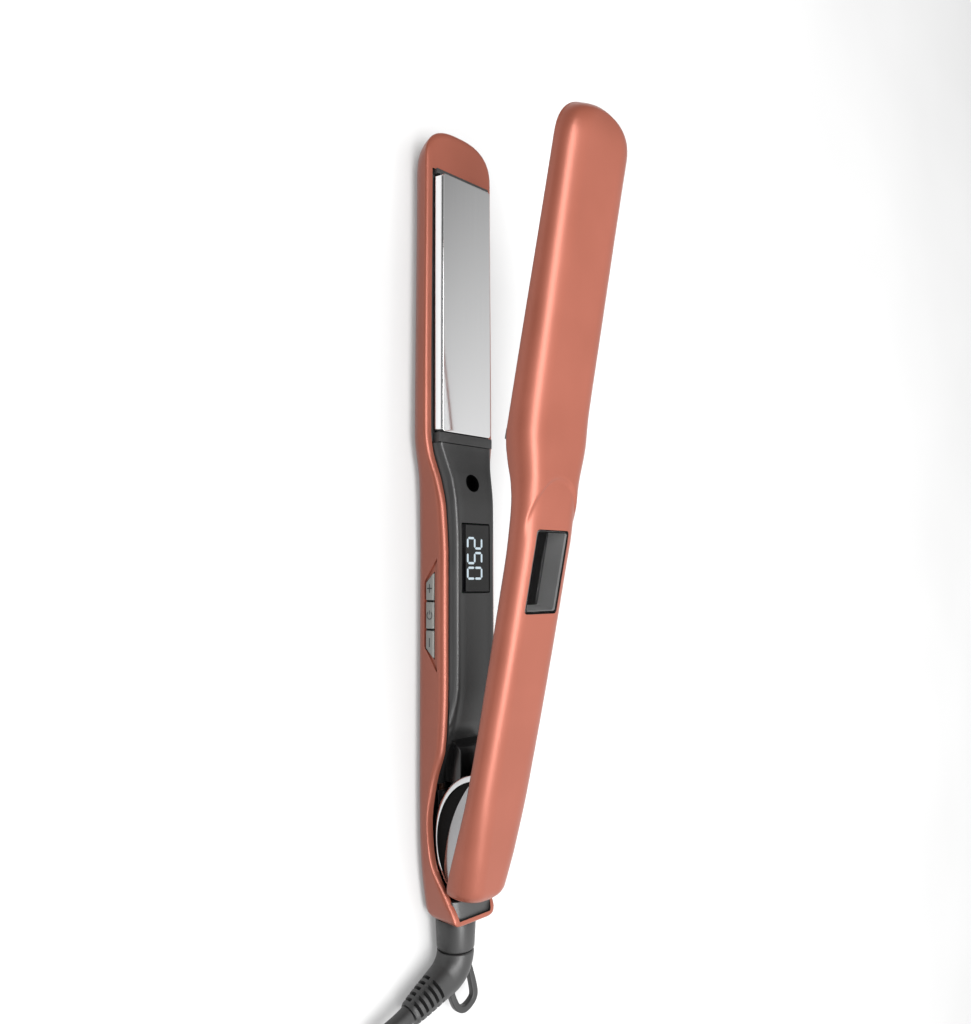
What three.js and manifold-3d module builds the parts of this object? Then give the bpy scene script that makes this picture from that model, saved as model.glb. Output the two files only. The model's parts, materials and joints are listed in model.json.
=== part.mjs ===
// Flat iron (hair straightener), lying on its lower arm with the upper arm open.
// Millimetres. +X runs from the hinge to the tips, +Y is the button side, +Z is up.
// The origin is on the table, straight below the hinge pin.
import * as THREE from 'three';
import { mergeVertices } from 'three/addons/utils/BufferGeometryUtils.js';
import Module from 'manifold-3d';

const wasm = await Module();
wasm.setup();

// ---------------------------------------------------------------- driving dimensions
const HINGE_Z = 16.5; // height of the hinge pin above the table
const OPEN_ANGLE = THREE.MathUtils.degToRad(12.8); // between closed and fully open
const LOWER_PLATE_Z = 13.5; // face of the lower heater plate
const PLATE_GAP = 0.4; // between the two plates when the arms are shut
const UPPER_PLATE_Z = LOWER_PLATE_Z + PLATE_GAP;
const PLATE_X0 = 137; // handle end of the heater plates
const PLATE_X1 = 229; // tip end of the heater plates
const PLATE_FLAT = 11.5; // half width of the polished flat
const PLATE_SIDE = 12.7; // half width across the bevels
const PLATE_BEVEL = 2.9; // height of the bevels
const LOWER_TIP_X = 247.5;
const UPPER_TIP_X = 239.5;
const TIP_LENGTH = 13.5; // length of the rounded plan at each tip
const TIP_WIDTH = 16; // half width where that rounding starts
const TAIL_X = -28.5; // end wall of the lower arm
const UPPER_TAIL_X = -19.5;
const FLOOR_WALL = 2; // shell thickness under the works of the lower arm
const ROOF_WALL = 1.6; // and over those of the upper arm
const GAP = 0.3; // clearance between touching pieces
const CORD_RADIUS = 3;
const SWIVEL_Z = 7.3; // axis of the cord swivel
const BARREL_RADIUS = 6.9;
const COVER_X0 = 30.5; // hinge end of the inner covers
const COVER_X1 = 133; // plate end of the inner covers
const WINDOW_X0 = 80.2;
const WINDOW_X1 = 106.8;
const WINDOW_HALF = 7.3;

// ---------------------------------------------------------------- solids and curves
// A manifold solid of a closed mesh, turned the right way out.
function solidOf(geometry) {
  geometry.deleteAttribute('normal');
  geometry.deleteAttribute('uv');
  const merged = mergeVertices(geometry, 1e-4);
  const vertProperties = new Float32Array(merged.attributes.position.array);
  const triVerts = withoutSlivers(merged.index.array);
  if (signedVolume(vertProperties, triVerts) < 0) {
    for (let i = 0; i < triVerts.length; i += 3) {
      [triVerts[i], triVerts[i + 1]] = [triVerts[i + 1], triVerts[i]];
    }
  }
  return new wasm.Manifold(new wasm.Mesh({ numProp: 3, vertProperties, triVerts }));
}

// Drops the triangles that merging has folded to a line, such as those at a pole.
function withoutSlivers(index) {
  const kept = [];
  for (let i = 0; i < index.length; i += 3) {
    const [a, b, c] = index.slice(i, i + 3);
    if (a !== b && b !== c && c !== a) kept.push(a, b, c);
  }
  return new Uint32Array(kept);
}

function signedVolume(positions, triangles) {
  const corner = (v) => new THREE.Vector3().fromArray(positions, 3 * v);
  let volume = 0;
  for (let i = 0; i < triangles.length; i += 3) {
    const [a, b, c] = [0, 1, 2].map((k) => corner(triangles[i + k]));
    volume += a.dot(b.cross(c)) / 6;
  }
  return volume;
}

function geometryOf(solid) {
  const { vertProperties, triVerts } = solid.getMesh();
  const geometry = new THREE.BufferGeometry();
  geometry.setAttribute('position', new THREE.BufferAttribute(vertProperties, 3));
  geometry.setIndex(new THREE.BufferAttribute(triVerts, 1));
  geometry.computeVertexNormals();
  return geometry;
}

// A smooth curve through [x, value] knots that never overshoots them.
function profile(knots) {
  const xs = knots.map(([x]) => x);
  const vs = knots.map(([, v]) => v);
  const slopes = xs.slice(1).map((x, i) => (vs[i + 1] - vs[i]) / (x - xs[i]));
  const tangents = xs.map((_, i) => {
    const before = slopes[i - 1] ?? 0;
    const after = slopes[i] ?? 0;
    return before * after > 0 ? (2 * before * after) / (before + after) : 0;
  });
  return (x) => {
    if (x <= xs[0]) return vs[0];
    if (x >= xs.at(-1)) return vs.at(-1);
    const i = xs.findIndex((value) => value > x) - 1;
    const width = xs[i + 1] - xs[i];
    const t = (x - xs[i]) / width;
    const rise = vs[i + 1] - vs[i];
    const a = tangents[i] * width - rise;
    const b = -tangents[i + 1] * width + rise;
    return vs[i] + t * rise + t * (1 - t) * (a * (1 - t) + b * t);
  };
}

// The triangles that fill an outline, each turning the same way as the outline does.
function filled(outline) {
  const turn = Math.sign(THREE.ShapeUtils.area(outline));
  return THREE.ShapeUtils.triangulateShape(outline, []).map(([a, b, c]) => {
    const corner = [outline[a], outline[b], outline[c]];
    return Math.sign(THREE.ShapeUtils.area(corner)) === turn ? [a, b, c] : [a, c, b];
  });
}

// Skins closed sections, one [y, z] ring for each station, into a solid.
function loftAlongX(xs, sectionAt) {
  const rings = xs.map((x) => sectionAt(x));
  const count = rings[0].length;
  const positions = rings.flatMap((ring, i) => ring.flatMap(([y, z]) => [xs[i], y, z]));
  const faces = [];
  for (let i = 0; i < xs.length - 1; i++) {
    for (let j = 0; j < count; j++) {
      const a = i * count + j;
      const b = i * count + ((j + 1) % count);
      faces.push(a, b, a + count, b, b + count, a + count);
    }
  }
  const outlines = rings.map((ring) => ring.map(([y, z]) => new THREE.Vector2(y, z)));
  const last = (xs.length - 1) * count;
  filled(outlines[0]).forEach(([a, b, c]) => faces.push(a, c, b));
  filled(outlines.at(-1)).forEach(([a, b, c]) => faces.push(a + last, b + last, c + last));
  const geometry = new THREE.BufferGeometry();
  geometry.setAttribute('position', new THREE.Float32BufferAttribute(positions, 3));
  geometry.setIndex(faces);
  return solidOf(geometry);
}

function mirrored(half) {
  const other = half.filter(([y]) => y > 1e-6).map(([y, z]) => [-y, z]).reverse();
  return [...half, ...other];
}

// A quarter ellipse from angle a to angle b (degrees), as [y, z] points.
function arc(cy, cz, ry, rz, a, b, steps) {
  return Array.from({ length: steps + 1 }, (_, i) => {
    const angle = THREE.MathUtils.degToRad(a + ((b - a) * i) / steps);
    return [cy + ry * Math.cos(angle), cz + rz * Math.sin(angle)];
  });
}

function box(x0, x1, y0, y1, z0, z1) {
  const geometry = new THREE.BoxGeometry(x1 - x0, y1 - y0, z1 - z0);
  geometry.translate((x0 + x1) / 2, (y0 + y1) / 2, (z0 + z1) / 2);
  return solidOf(geometry);
}

function shapeOf(points, holes = []) {
  const shape = new THREE.Shape(points.map(([a, b]) => new THREE.Vector2(a, b)));
  shape.holes = holes.map((hole) => new THREE.Path(hole.map(([a, b]) => new THREE.Vector2(a, b))));
  return shape;
}

// Extrudes an outline drawn in X and Z from y0 to y1.
function plateXZ(points, y0, y1, holes = []) {
  const geometry = new THREE.ExtrudeGeometry(shapeOf(points, holes), {
    depth: y1 - y0, bevelEnabled: false, curveSegments: 12,
  });
  geometry.rotateX(Math.PI / 2);
  geometry.translate(0, y1, 0);
  return solidOf(geometry);
}

// Extrudes an outline drawn in X and Y from z0 to z1.
function plateXY(points, z0, z1, holes = []) {
  const geometry = new THREE.ExtrudeGeometry(shapeOf(points, holes), {
    depth: z1 - z0, bevelEnabled: false, curveSegments: 12,
  });
  geometry.translate(0, 0, z0);
  return solidOf(geometry);
}

function circle(cx, cy, radius, steps) {
  return arc(cx, cy, radius, radius, 0, 360 - 360 / steps, steps - 1);
}

// A turned piece from [distance along the axis, radius] points. The profile starts and ends on
// the axis, or else it is closed on itself, which leaves a bore.
function turned(points, axis, steps = 24) {
  const outline = points.map(([along, radius]) => new THREE.Vector2(radius, along));
  const solid = points[0][1] === 0;
  const geometry = new THREE.LatheGeometry(solid ? outline : [...outline, outline[0]], steps);
  if (axis === 'x') geometry.rotateZ(-Math.PI / 2);
  if (axis === 'z') geometry.rotateX(Math.PI / 2);
  return solidOf(geometry);
}

function rod(x, y0, y1, z, radius, steps = 20) {
  return turned([[y0, 0], [y0, radius], [y1, radius], [y1, 0]], 'y', steps).translate([x, 0, z]);
}

function ring(x, y0, y1, z, inner, outer, steps = 24) {
  return turned([[y0, inner], [y0, outer], [y1, outer], [y1, inner]], 'y', steps)
    .translate([x, 0, z]);
}

// A round wire or tube through points, with its section swept along the curve.
function wire(points, radius, steps, sides = 8) {
  const curve = new THREE.CatmullRomCurve3(points.map((p) => new THREE.Vector3(...p)));
  const section = shapeOf(circle(0, 0, radius, sides));
  const geometry = new THREE.ExtrudeGeometry(section, { steps, extrudePath: curve });
  return solidOf(geometry);
}


// ---------------------------------------------------------------- outer form of the arms
// Half width of both arms at the rim, from tail to tip, before the tip's rounding.
const armHalfWidth = profile([
  [-28.5, 8.9], [-26, 9.5], [-20, 10.6], [-10, 11.9], [0, 12.5], [20, 12.8], [93, 12.8],
  [110, 13.3], [120, 13.9], [137, 16.4], [146, 16.4], [TIP_WIDTH + 212, 16],
]);
// How far the rounded lip of each shell reaches in from its side.
const lipWidth = profile([[-28.5, 1.6], [-15, 2.2], [0, 2.5], [230, 2.5]]);
// Rim heights: the outer edge of the side wall, and how far the lip's inner edge stands past it.
const lowerRim = profile([
  [-28.5, 16.6], [-26, 16.2], [-20, 11.9], [-7, 7.1], [4, 6.5], [16, 7.9], [21, 9], [29, 11.3],
  [39, 12.1], [52, 12.5], [93, 12.5], [110, 11.9], [120, 10.6], [130, 8.9], [138, 8.6], [247, 8.8],
]);
const lowerLipRise = profile([
  [-28.5, 0.5], [-20, 2], [-8, 0.6], [4, 0.3], [16, 1], [30, 2.2], [45, 2.4], [110, 2.4],
  [130, 1.4], [247, 1.2],
]);
const upperRim = profile([
  [-19.5, 18.6], [-16, 18.8], [0, 21.2], [20, 23.4], [45, 23.9], [95, 23.9], [108, 23.6],
  [114, 23.1], [120, 21.8], [126, 20], [132, 19], [138, 18.7], [240, 18.7],
]);
const upperLipDrop = profile([[-19.5, 1], [0, 1.4], [30, 2], [110, 2], [130, 1.4], [240, 1.2]]);
// Top of the upper arm, shut: deepest over the handle and thinner towards the tip.
const upperTop = profile([
  [-19.5, 28.3], [-3, 28.9], [12, 29.2], [80, 30.1], [112, 30.1], [129, 28.7], [148, 27.1],
  [170, 26.7], [234, 25.8],
]);

// How much of the width is left at x in a tip that ends at tipX.
function tipTaper(x, tipX) {
  const t = (x - (tipX - TIP_LENGTH)) / TIP_LENGTH;
  return t <= 0 ? 1 : (1 - Math.min(t, 1) ** 2.6) ** (1 / 2.6);
}

// How far the back of a tip has curved towards its rim at x: by depth over the last run.
function tipCurve(x, tipX, depth, run) {
  const t = (x - (tipX - run)) / run;
  return t <= 0 ? 0 : depth * t ** 2.6;
}

// The rounding of the lower arm's bottom against its end wall.
function tailRise(x) {
  const t = (TAIL_X + 4 - x) / 4;
  return t <= 0 ? 0 : 1.6 * t ** 2;
}

function upperTailDrop(x) {
  const t = (UPPER_TAIL_X + 5 - x) / 5;
  return t <= 0 ? 0 : 3.2 * t ** 2.2;
}

// Plan rounding of the upper arm's tail corners.
function upperTailTaper(x) {
  const t = (UPPER_TAIL_X + 4 - x) / 4;
  return t <= 0 ? 1 : 1 - 0.26 * t ** 2.4;
}

const lowerHalf = (x) => armHalfWidth(x) * tipTaper(x, LOWER_TIP_X);
const upperHalf = (x) => armHalfWidth(x) * tipTaper(x, UPPER_TIP_X) * upperTailTaper(x);
const lowerFloor = (x) => Math.max(tipCurve(x, LOWER_TIP_X, 5, 20), tailRise(x));
const upperRoof = (x) => upperTop(x) - tipCurve(x, UPPER_TIP_X, 3.4, 14) - upperTailDrop(x);
const lowerOpening = (x) => lowerHalf(x) - lipWidth(x);
const upperOpening = (x) => upperHalf(x) - lipWidth(x);

// The corner between a side wall and the back of each arm: soft, and softer on the upper one.
const lowerCorner = profile([[93, 4.9], [137, 6.6], [240, 7]]);
const upperCorner = profile([[-20, 8.4], [20, 8], [60, 7], [93, 6.8], [137, 8.2], [240, 8.6]]);

function armSection(half, lip, rim, lipEdge, back, radius) {
  const toBack = Math.sign(back - rim);
  const across = Math.min(radius, half * 0.92);
  const down = Math.min(radius, Math.abs(back - rim) - 0.4);
  const reach = Math.min(lip, half * 0.5);
  const lipTurn = toBack < 0 ? [90, 0] : [-90, 0];
  const backTurn = toBack < 0 ? [0, -90] : [0, 90];
  const lipArc = arc(half - reach, rim, reach, Math.abs(lipEdge - rim), ...lipTurn, 4);
  const backArc = arc(half - across, back - toBack * down, across, down, ...backTurn, 7);
  return mirrored([...lipArc, ...backArc]);
}

const lowerSection = (x) => armSection(
  lowerHalf(x), lipWidth(x), lowerRim(x), lowerRim(x) + lowerLipRise(x), lowerFloor(x),
  lowerCorner(x),
);
const upperSection = (x) => armSection(
  upperHalf(x), lipWidth(x), upperRim(x), upperRim(x) - upperLipDrop(x), upperRoof(x),
  upperCorner(x),
);

// A trough that follows the inside of a shell, from its wall to past its rim.
function trough(xs, halfAt, wallAt, openAt) {
  return loftAlongX(xs, (x) => {
    const half = halfAt(x);
    const wall = wallAt(x);
    const inward = Math.sign(openAt - wall);
    const corner = Math.min(3, half * 0.5);
    const turn = inward > 0 ? [0, -90] : [0, 90];
    const foot = arc(half - corner, wall + inward * corner, corner, corner, ...turn, 3);
    return mirrored([[half, openAt], ...foot]);
  });
}

// Where the lofts need a section: close together where the form changes quickly.
const tipStations = (tipX) => [14, 11, 8.5, 6.5, 5, 3.7, 2.6, 1.7, 1, 0.5, 0.15].map((d) => tipX - d);
const neckStations = [106, 111, 115, 118, 121, 124, 127, 130, 133, 136, 139, 144];
const hingeStations = [10, 16, 20, 24, 28, 33, 39, 46];
const lowerTailStations = [-25.4, -24, -22, -20, -17, -13, -9, -5, 0, 5];
const upperTailStations = [-16.8, -15.4, -13, -9, -4, 2];
const CAVITY_TIP_X = 231.4; // where the hollow of both arms ends
const TAIL_WALL = 1.9;

function roundedRect(x0, x1, half, radius) {
  const quarter = (cx, cy, from) => arc(cx, cy, radius, radius, from, from + 90, 3);
  return [
    ...quarter(x1 - radius, half - radius, 0), ...quarter(x0 + radius, half - radius, 90),
    ...quarter(x0 + radius, -half + radius, 180), ...quarter(x1 - radius, -half + radius, 270),
  ];
}

// ---------------------------------------------------------------- lower arm
const PEG_X = 119.5; // locating peg of the upper arm, and its hole
const PEG_RADIUS = 2.5;
const BUTTON_TOP = 9.95;
const BUTTON_FOOT = 6.2;
const BUTTON_SLOPE = 3.2; // run of the slanted ends of the outer buttons
const BUTTONS = [
  { key: 'plus', x0: 78.95, x1: 88.2, slant: 1 },
  { key: 'power', x0: 69.25, x1: 78.35, slant: 0 },
  { key: 'minus', x0: 59.4, x1: 68.65, slant: -1 },
];
const BUTTON_INNER_Y = 9.6;
const BUTTON_OUTER_Y = 12.9;
const RECESS_DEPTH = 0.5; // of the panel around the buttons
const NECK_RADIUS = 4; // swivel neck, through the end wall
const BOARD_Z = 10.6;
const WINDOW_TOP_Z = 17.8; // glossy window over the display

function lowerShell() {
  const xs = [
    TAIL_X, -27.6, -26.6, ...lowerTailStations, ...hingeStations, 60, 76, 92, 100,
    ...neckStations, 165, 195, 222, 228, ...tipStations(LOWER_TIP_X),
  ];
  const inside = trough(
    [TAIL_X + TAIL_WALL, ...lowerTailStations, ...hingeStations, 60, 92, ...neckStations,
      190, 222, CAVITY_TIP_X],
    lowerOpening, (x) => lowerFloor(x) + FLOOR_WALL, 30,
  );
  const side = armHalfWidth(76);
  const recess = plateXZ(
    [[63.2, 5.3], [85.2, 5.3], [93.4, 12], [54.6, 12]], side - RECESS_DEPTH, side + 2,
  );
  const slot = plateXZ(
    [[62.3, 5.9], [85.3, 5.9], [88.8, 10.25], [58.8, 10.25]], side - 4, side + 1,
  );
  const cordHole = turned(
    [[TAIL_X - 2, 0], [TAIL_X - 2, NECK_RADIUS + GAP], [-20, NECK_RADIUS + GAP], [-20, 0]], 'x',
  ).translate([0, 0, SWIVEL_Z]);
  return loftAlongX(xs, lowerSection).subtract(inside).subtract(recess).subtract(slot)
    .subtract(cordHole);
}

// Section of an inner cover: legs inside the rim, a low ridge, a shallow valley, a flat middle.
// up is 1 for the lower cover and -1 for the upper one, which faces down.
function coverSection(half, edge, crown, up) {
  const wall = 1.6;
  const ridge = edge + 0.68 * (crown - edge);
  const leg = up * Math.min(up * edge - 2.2, up * crown - 2.4);
  return mirrored([
    [0, crown], [half - 4.6, crown], [half - 3.2, ridge - up * 0.2], [half - 1.9, ridge],
    [half - 1, ridge], [half - 0.3, (ridge + edge) / 2], [half, edge], [half, leg],
    [half - wall, leg], [half - wall, ridge - up * (wall + 0.1)],
    [half - 3.4, ridge - up * (wall + 0.1)], [half - 4.8, crown - up * wall],
    [0, crown - up * wall],
  ]);
}

const coverStations = [COVER_X0, 34, 38, 43, 50, 60, 80, 100, 106, 111, 115, 118, 121, 124, 127,
  130, COVER_X1];
const lowerCrown = profile([
  [30.5, 12.2], [38, 15.2], [50, 17.4], [60, 17.6], [100, 17.6], [112, 17.2], [119.5, 16.1],
  [127, 14.2], [134, 13],
]);
const upperCrown = profile([
  [30.5, 21.4], [38, 20.6], [50, 19.8], [60, 19.6], [100, 19.6], [112, 19.2], [119.5, 18],
  [127, 16], [134, 14.6],
]);

function lowerInnerCover() {
  const shell = loftAlongX(coverStations, (x) => coverSection(
    lowerOpening(x) - 0.4, lowerRim(x) + lowerLipRise(x) + 0.5, lowerCrown(x), 1,
  ));
  const hingeBlock = plateXZ(
    [[17.5, 9], [31.5, 9], [31.5, 13], [29.5, 16.2], [27.5, 16.9], [19.5, 16.9], [17.5, 15.4]],
    -6.5, 6.5,
  );
  const opening = plateXY(roundedRect(81.3, 105.4, 6.7, 0.5), 8, 20);
  const pegHole = turned([[8, 0], [8, PEG_RADIUS + 0.6], [20, PEG_RADIUS + 0.6], [20, 0]], 'z', 20)
    .translate([PEG_X, 0, 0]);
  return shell.add(hingeBlock).subtract(opening).subtract(pegHole);
}

const displayWindow = () => plateXY(roundedRect(81.6, 105.1, 6.4, 0.4), 16.1, WINDOW_TOP_Z);
const displayModule = () => box(83.5, 103.5, -5.6, 5.6, BOARD_Z + 1.7, 15.8);
const controlBoard = () => box(40, 112, -9, 9, BOARD_Z, BOARD_Z + 1.4);

function buttonSwitch({ x0, x1 }) {
  const middle = (x0 + x1) / 2;
  const body = box(middle - 2.2, middle + 2.2, 5.6, 8.2, BUTTON_FOOT, BOARD_Z - GAP);
  const plunger = rod(middle, 8.1, BUTTON_INNER_Y - 0.7, 8.2, 0.9, 12);
  return body.add(plunger);
}

function button({ x0, x1, slant }) {
  const footX0 = x0 + (slant < 0 ? BUTTON_SLOPE : 0);
  const footX1 = x1 - (slant > 0 ? BUTTON_SLOPE : 0);
  const outline = [
    [footX0, BUTTON_FOOT], [footX1, BUTTON_FOOT], [x1, BUTTON_TOP], [x0, BUTTON_TOP],
  ];
  return plateXZ(outline, BUTTON_INNER_Y, BUTTON_OUTER_Y);
}

// Charcoal block that fills the tail between the end wall and the upper arm.
function tailInsert() {
  const outline = [[-26.3, -6.6], [-20.6, -7.2], [-20.6, 5.6], [-21.8, 7.1], [-26.3, 6.6]];
  return plateXY(outline, 13.1, 15.7);
}

// ---------------------------------------------------------------- heater plates
// Both arms hold the same floating set. It is drawn facing up, at the lower arm, and turned
// over for the upper one.
const PLATE_BODY_HALF = 11;
const PLATE_FOOT = 5.6; // plate body below the polished face
const SET_BOTTOM = FLOOR_WALL + GAP;

function heaterPlate() {
  const shoulder = LOWER_PLATE_Z - PLATE_BEVEL;
  const section = (trim) => mirrored([
    [PLATE_FLAT - trim, LOWER_PLATE_Z], [PLATE_SIDE - trim, shoulder],
    [PLATE_SIDE - trim, shoulder - 0.2], [PLATE_BODY_HALF - trim, shoulder - 0.2],
    [PLATE_BODY_HALF - trim, LOWER_PLATE_Z - PLATE_FOOT],
  ]);
  const corner = 0.8;
  const xs = [PLATE_X0, PLATE_X0 + corner, PLATE_X1 - corner, PLATE_X1];
  return loftAlongX(xs, (x) => section(x < xs[1] || x > xs[2] ? corner : 0));
}

function plateFrame(tipHalf) {
  const outline = [
    [133.3, -12.7], [138, -13.3], [225, -13.3], [231.1, -tipHalf],
    [231.1, tipHalf], [225, 13.3], [138, 13.3], [133.3, 12.7],
  ];
  const hole = [[136.7, -11.4], [229.4, -11.4], [229.4, 11.4], [136.7, 11.4]];
  const frame = plateXY(outline, 6.5, 9.1, [hole]);
  const handleBar = box(133.3, 136.7, -12.6, 12.6, 8, LOWER_PLATE_Z - 0.5);
  const tipBar = box(229.4, 231.1, 0.4 - tipHalf, tipHalf - 0.4, 8, LOWER_PLATE_Z - 2);
  return frame.add(handleBar).add(tipBar);
}

const heater = () => box(150, 216, -7, 7, 5.2, LOWER_PLATE_Z - PLATE_FOOT - GAP);
const cushion = (x0, footZ) => box(x0, x0 + 6, -7, 7, footZ, 6.7);
const thermistor = () => box(176, 180, -1.5, 1.5, 4.3, 4.9);
const thermalFuse = () => turned([[190, 0], [190, 0.5], [200, 0.5], [200, 0]], 'x', 12)
  .translate([0, 3, 4.4]);
const heaterLead = (start) => wire(
  [start, [121, 5, 4.6], [133, 8.4, 4.5], [146, 8.7, 4.6], [156, 8.7, 5.2], [165, 8.7, 5.6]],
  0.7, 20,
);
// Turns a lower-arm piece over, into its place in the closed upper arm.
const turnedOver = (solid) => solid.mirror([0, 0, 1])
  .translate([0, 0, LOWER_PLATE_Z + UPPER_PLATE_Z]);

// ---------------------------------------------------------------- hinge
const PIN_RADIUS = 2;
const PIN_HALF = 7.9;
const BUSH_RADIUS = 3;
const EAR_RADIUS = 5.2;
const CHEEK_RADIUS = 23.7; // chrome half-moons on the sides of the hinge
const CHEEK_X = 2.1;
const CHEEK_Z = 29.4;
const LENS_RADIUS = 18.8; // raised middle of a half-moon
const BRACKET_SCREWS = [-6.5, 10.5];
const UPPER_BRACKET_SCREWS = [-8.5, 8.5];

const hingePin = () => rod(0, -PIN_HALF, PIN_HALF, HINGE_Z, PIN_RADIUS);
const hingeBush = (y0) => ring(0, y0, y0 + 3.4, HINGE_Z, PIN_RADIUS + GAP, BUSH_RADIUS);

function lowerHingeBracket() {
  const ear = (y0) => plateXZ(
    [[-9, 6], [13, 6], ...arc(0, HINGE_Z, EAR_RADIUS, EAR_RADIUS, 10, 170, 10)], y0, y0 + 3.4,
    [circle(0, HINGE_Z, BUSH_RADIUS + GAP, 20)],
  );
  const base = box(-9, 14, -6.6, 6.6, 5.5, 8);
  const body = base.add(ear(3.2)).add(ear(-6.6));
  return BRACKET_SCREWS.reduce((solid, x) => solid.subtract(screwHole(x, 4, 10)), body);
}

const screwHole = (x, z0, z1) => turned([[z0, 0], [z0, 1.6], [z1, 1.6], [z1, 0]], 'z', 16)
  .translate([x, 0, 0]);

// A pan-head screw with its head up at headZ.
const screw = (x, footZ, headZ) => turned(
  [[footZ, 0], [footZ, 1.2], [headZ, 1.2], [headZ, 2.3], [headZ + 1.2, 2], [headZ + 1.6, 0]],
  'z', 16,
).translate([x, 0, 0]);

function hingeSpring() {
  const turns = 5;
  const perTurn = 10;
  const coil = Array.from({ length: turns * perTurn + 1 }, (_, i) => {
    const angle = (2 * Math.PI * i) / perTurn;
    return [3.1 * Math.cos(angle), -2.1 + (4.2 * i) / (turns * perTurn),
      HINGE_Z + 3.1 * Math.sin(angle)];
  });
  const lowerLeg = [[9.5, -2.1, HINGE_Z - 6.6], [4, -2.1, HINGE_Z - 3]];
  const upperLeg = [[4, 2.1, HINGE_Z + 3], [9.5, 2.1, HINGE_Z + 5]];
  return wire([...lowerLeg, ...coil, ...upperLeg], 0.4, 76, 6);
}

// Ears outside those of the lower bracket, with a plate across under the upper shell's roof.
function upperHingeBracket() {
  const ear = (y0) => plateXZ(
    [[-5, 25.4], ...arc(0, HINGE_Z, 5, 5, 180, 360, 12), [5, 25.4]], y0, y0 + 1,
    [circle(0, HINGE_Z, PIN_RADIUS + GAP, 20)],
  );
  const body = box(-11, 11, -7.3, 7.3, 24, 25.4).add(ear(6.9)).add(ear(-7.9));
  return UPPER_BRACKET_SCREWS.reduce((solid, x) => solid.subtract(screwHole(x, 22, 27)), body);
}

const upperBracketScrew = (x) => screw(x, -26.6, -23.7).mirror([0, 0, 1]);

function hingeCheek(side) {
  const disc = rod(CHEEK_X, 7.7, 9.2, CHEEK_Z, CHEEK_RADIUS, 72);
  const lens = rod(CHEEK_X, 8.6, 9.6, CHEEK_Z, LENS_RADIUS, 64);
  const earRoom = box(-8.5, 30, 7, 8.2, 0, 40);
  const kept = box(-16.6, 30, 7, 10, 0, 24.2);
  const bore = loftAlongX(
    [-17, ...upperTailStations.slice(1), 10, 16, 20, 24, 28],
    (x) => {
      const half = Math.min(lowerOpening(x), upperOpening(x)) - 0.35;
      return [[half, 0], [half, 40], [-half, 40], [-half, 0]];
    },
  );
  const cheek = disc.add(lens).intersect(kept).intersect(bore).subtract(earRoom);
  return side > 0 ? cheek : cheek.mirror([0, 1, 0]);
}

// ---------------------------------------------------------------- upper arm, drawn shut
function upperShell() {
  const xs = [
    UPPER_TAIL_X, -18.9, -18, ...upperTailStations, ...hingeStations, 60, 76, 92, 100,
    ...neckStations, 165, 195, 218, ...tipStations(UPPER_TIP_X),
  ];
  const inside = trough(
    [-17.6, ...upperTailStations, ...hingeStations, 60, 92, ...neckStations, 190, 218, 225,
      CAVITY_TIP_X],
    upperOpening, (x) => upperRoof(x) - ROOF_WALL, 5,
  );
  const windowHole = plateXY(
    roundedRect(WINDOW_X0 - GAP, WINDOW_X1 + GAP, WINDOW_HALF + GAP, 1.2), 20, 40,
  );
  return loftAlongX(xs, upperSection).subtract(inside).subtract(windowHole);
}

const upperWindow = () => plateXY(
  roundedRect(WINDOW_X0, WINDOW_X1, WINDOW_HALF, 1), 28.5, upperTop(90) - 0.15,
);

function upperInnerCover() {
  const shell = loftAlongX(coverStations, (x) => coverSection(
    upperOpening(x) - 0.4, upperRim(x) - upperLipDrop(x) - 0.5, upperCrown(x), -1,
  ));
  const peg = turned(
    [[14.6, 0], [14.6, PEG_RADIUS - 0.5], [15.2, PEG_RADIUS], [19, PEG_RADIUS], [19, 0]], 'z', 20,
  ).translate([PEG_X, 0, 0]);
  const sightHole = plateXY(roundedRect(82, 105, 6, 0.5), 15, 26);
  return shell.add(peg).subtract(sightHole);
}

// ---------------------------------------------------------------- cord end
const SLEEVE_BEND = 9.2; // bend radius of the strain relief's axis
const SLEEVE_TURN = THREE.MathUtils.degToRad(66);
const SLEEVE_X = -39.5; // where the strain relief starts
const SLEEVE_LENGTH = 26.9; // along its axis
const sleeveRadius = profile([[0, 6.4], [6, 6.2], [13.3, 5.5], [SLEEVE_LENGTH, 4.1]]);

// The axis of the bent strain relief at a distance along it: a point and a heading.
function sleeveAxis(distance) {
  const bendLength = SLEEVE_BEND * SLEEVE_TURN;
  const turn = Math.min(distance / SLEEVE_BEND, SLEEVE_TURN);
  const rest = Math.max(distance - bendLength, 0);
  const heading = new THREE.Vector3(-Math.cos(turn), Math.sin(turn), 0);
  const point = new THREE.Vector3(
    SLEEVE_X - SLEEVE_BEND * Math.sin(turn), SLEEVE_BEND * (1 - Math.cos(turn)), SWIVEL_Z,
  );
  return { point: point.addScaledVector(heading, rest), heading };
}

// The strain relief, or with grow above zero the room that its neighbours leave for it.
function strainRelief(grow = 0) {
  const sides = 20;
  const distances = [0, 2.1, 4.2, 6.3, 8.4, SLEEVE_BEND * SLEEVE_TURN, 14, 18, 22, SLEEVE_LENGTH];
  const positions = distances.flatMap((distance) => {
    const { point, heading } = sleeveAxis(distance);
    const across = new THREE.Vector3(heading.y, -heading.x, 0);
    return circle(0, 0, sleeveRadius(distance) + grow, sides).flatMap(([a, b]) => (
      point.clone().addScaledVector(across, a).add(new THREE.Vector3(0, 0, b)).toArray()
    ));
  });
  const geometry = new THREE.BufferGeometry();
  geometry.setAttribute('position', new THREE.Float32BufferAttribute(positions, 3));
  geometry.setIndex(tubeFaces(distances.length, sides));
  return solidOf(geometry);
}

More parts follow.
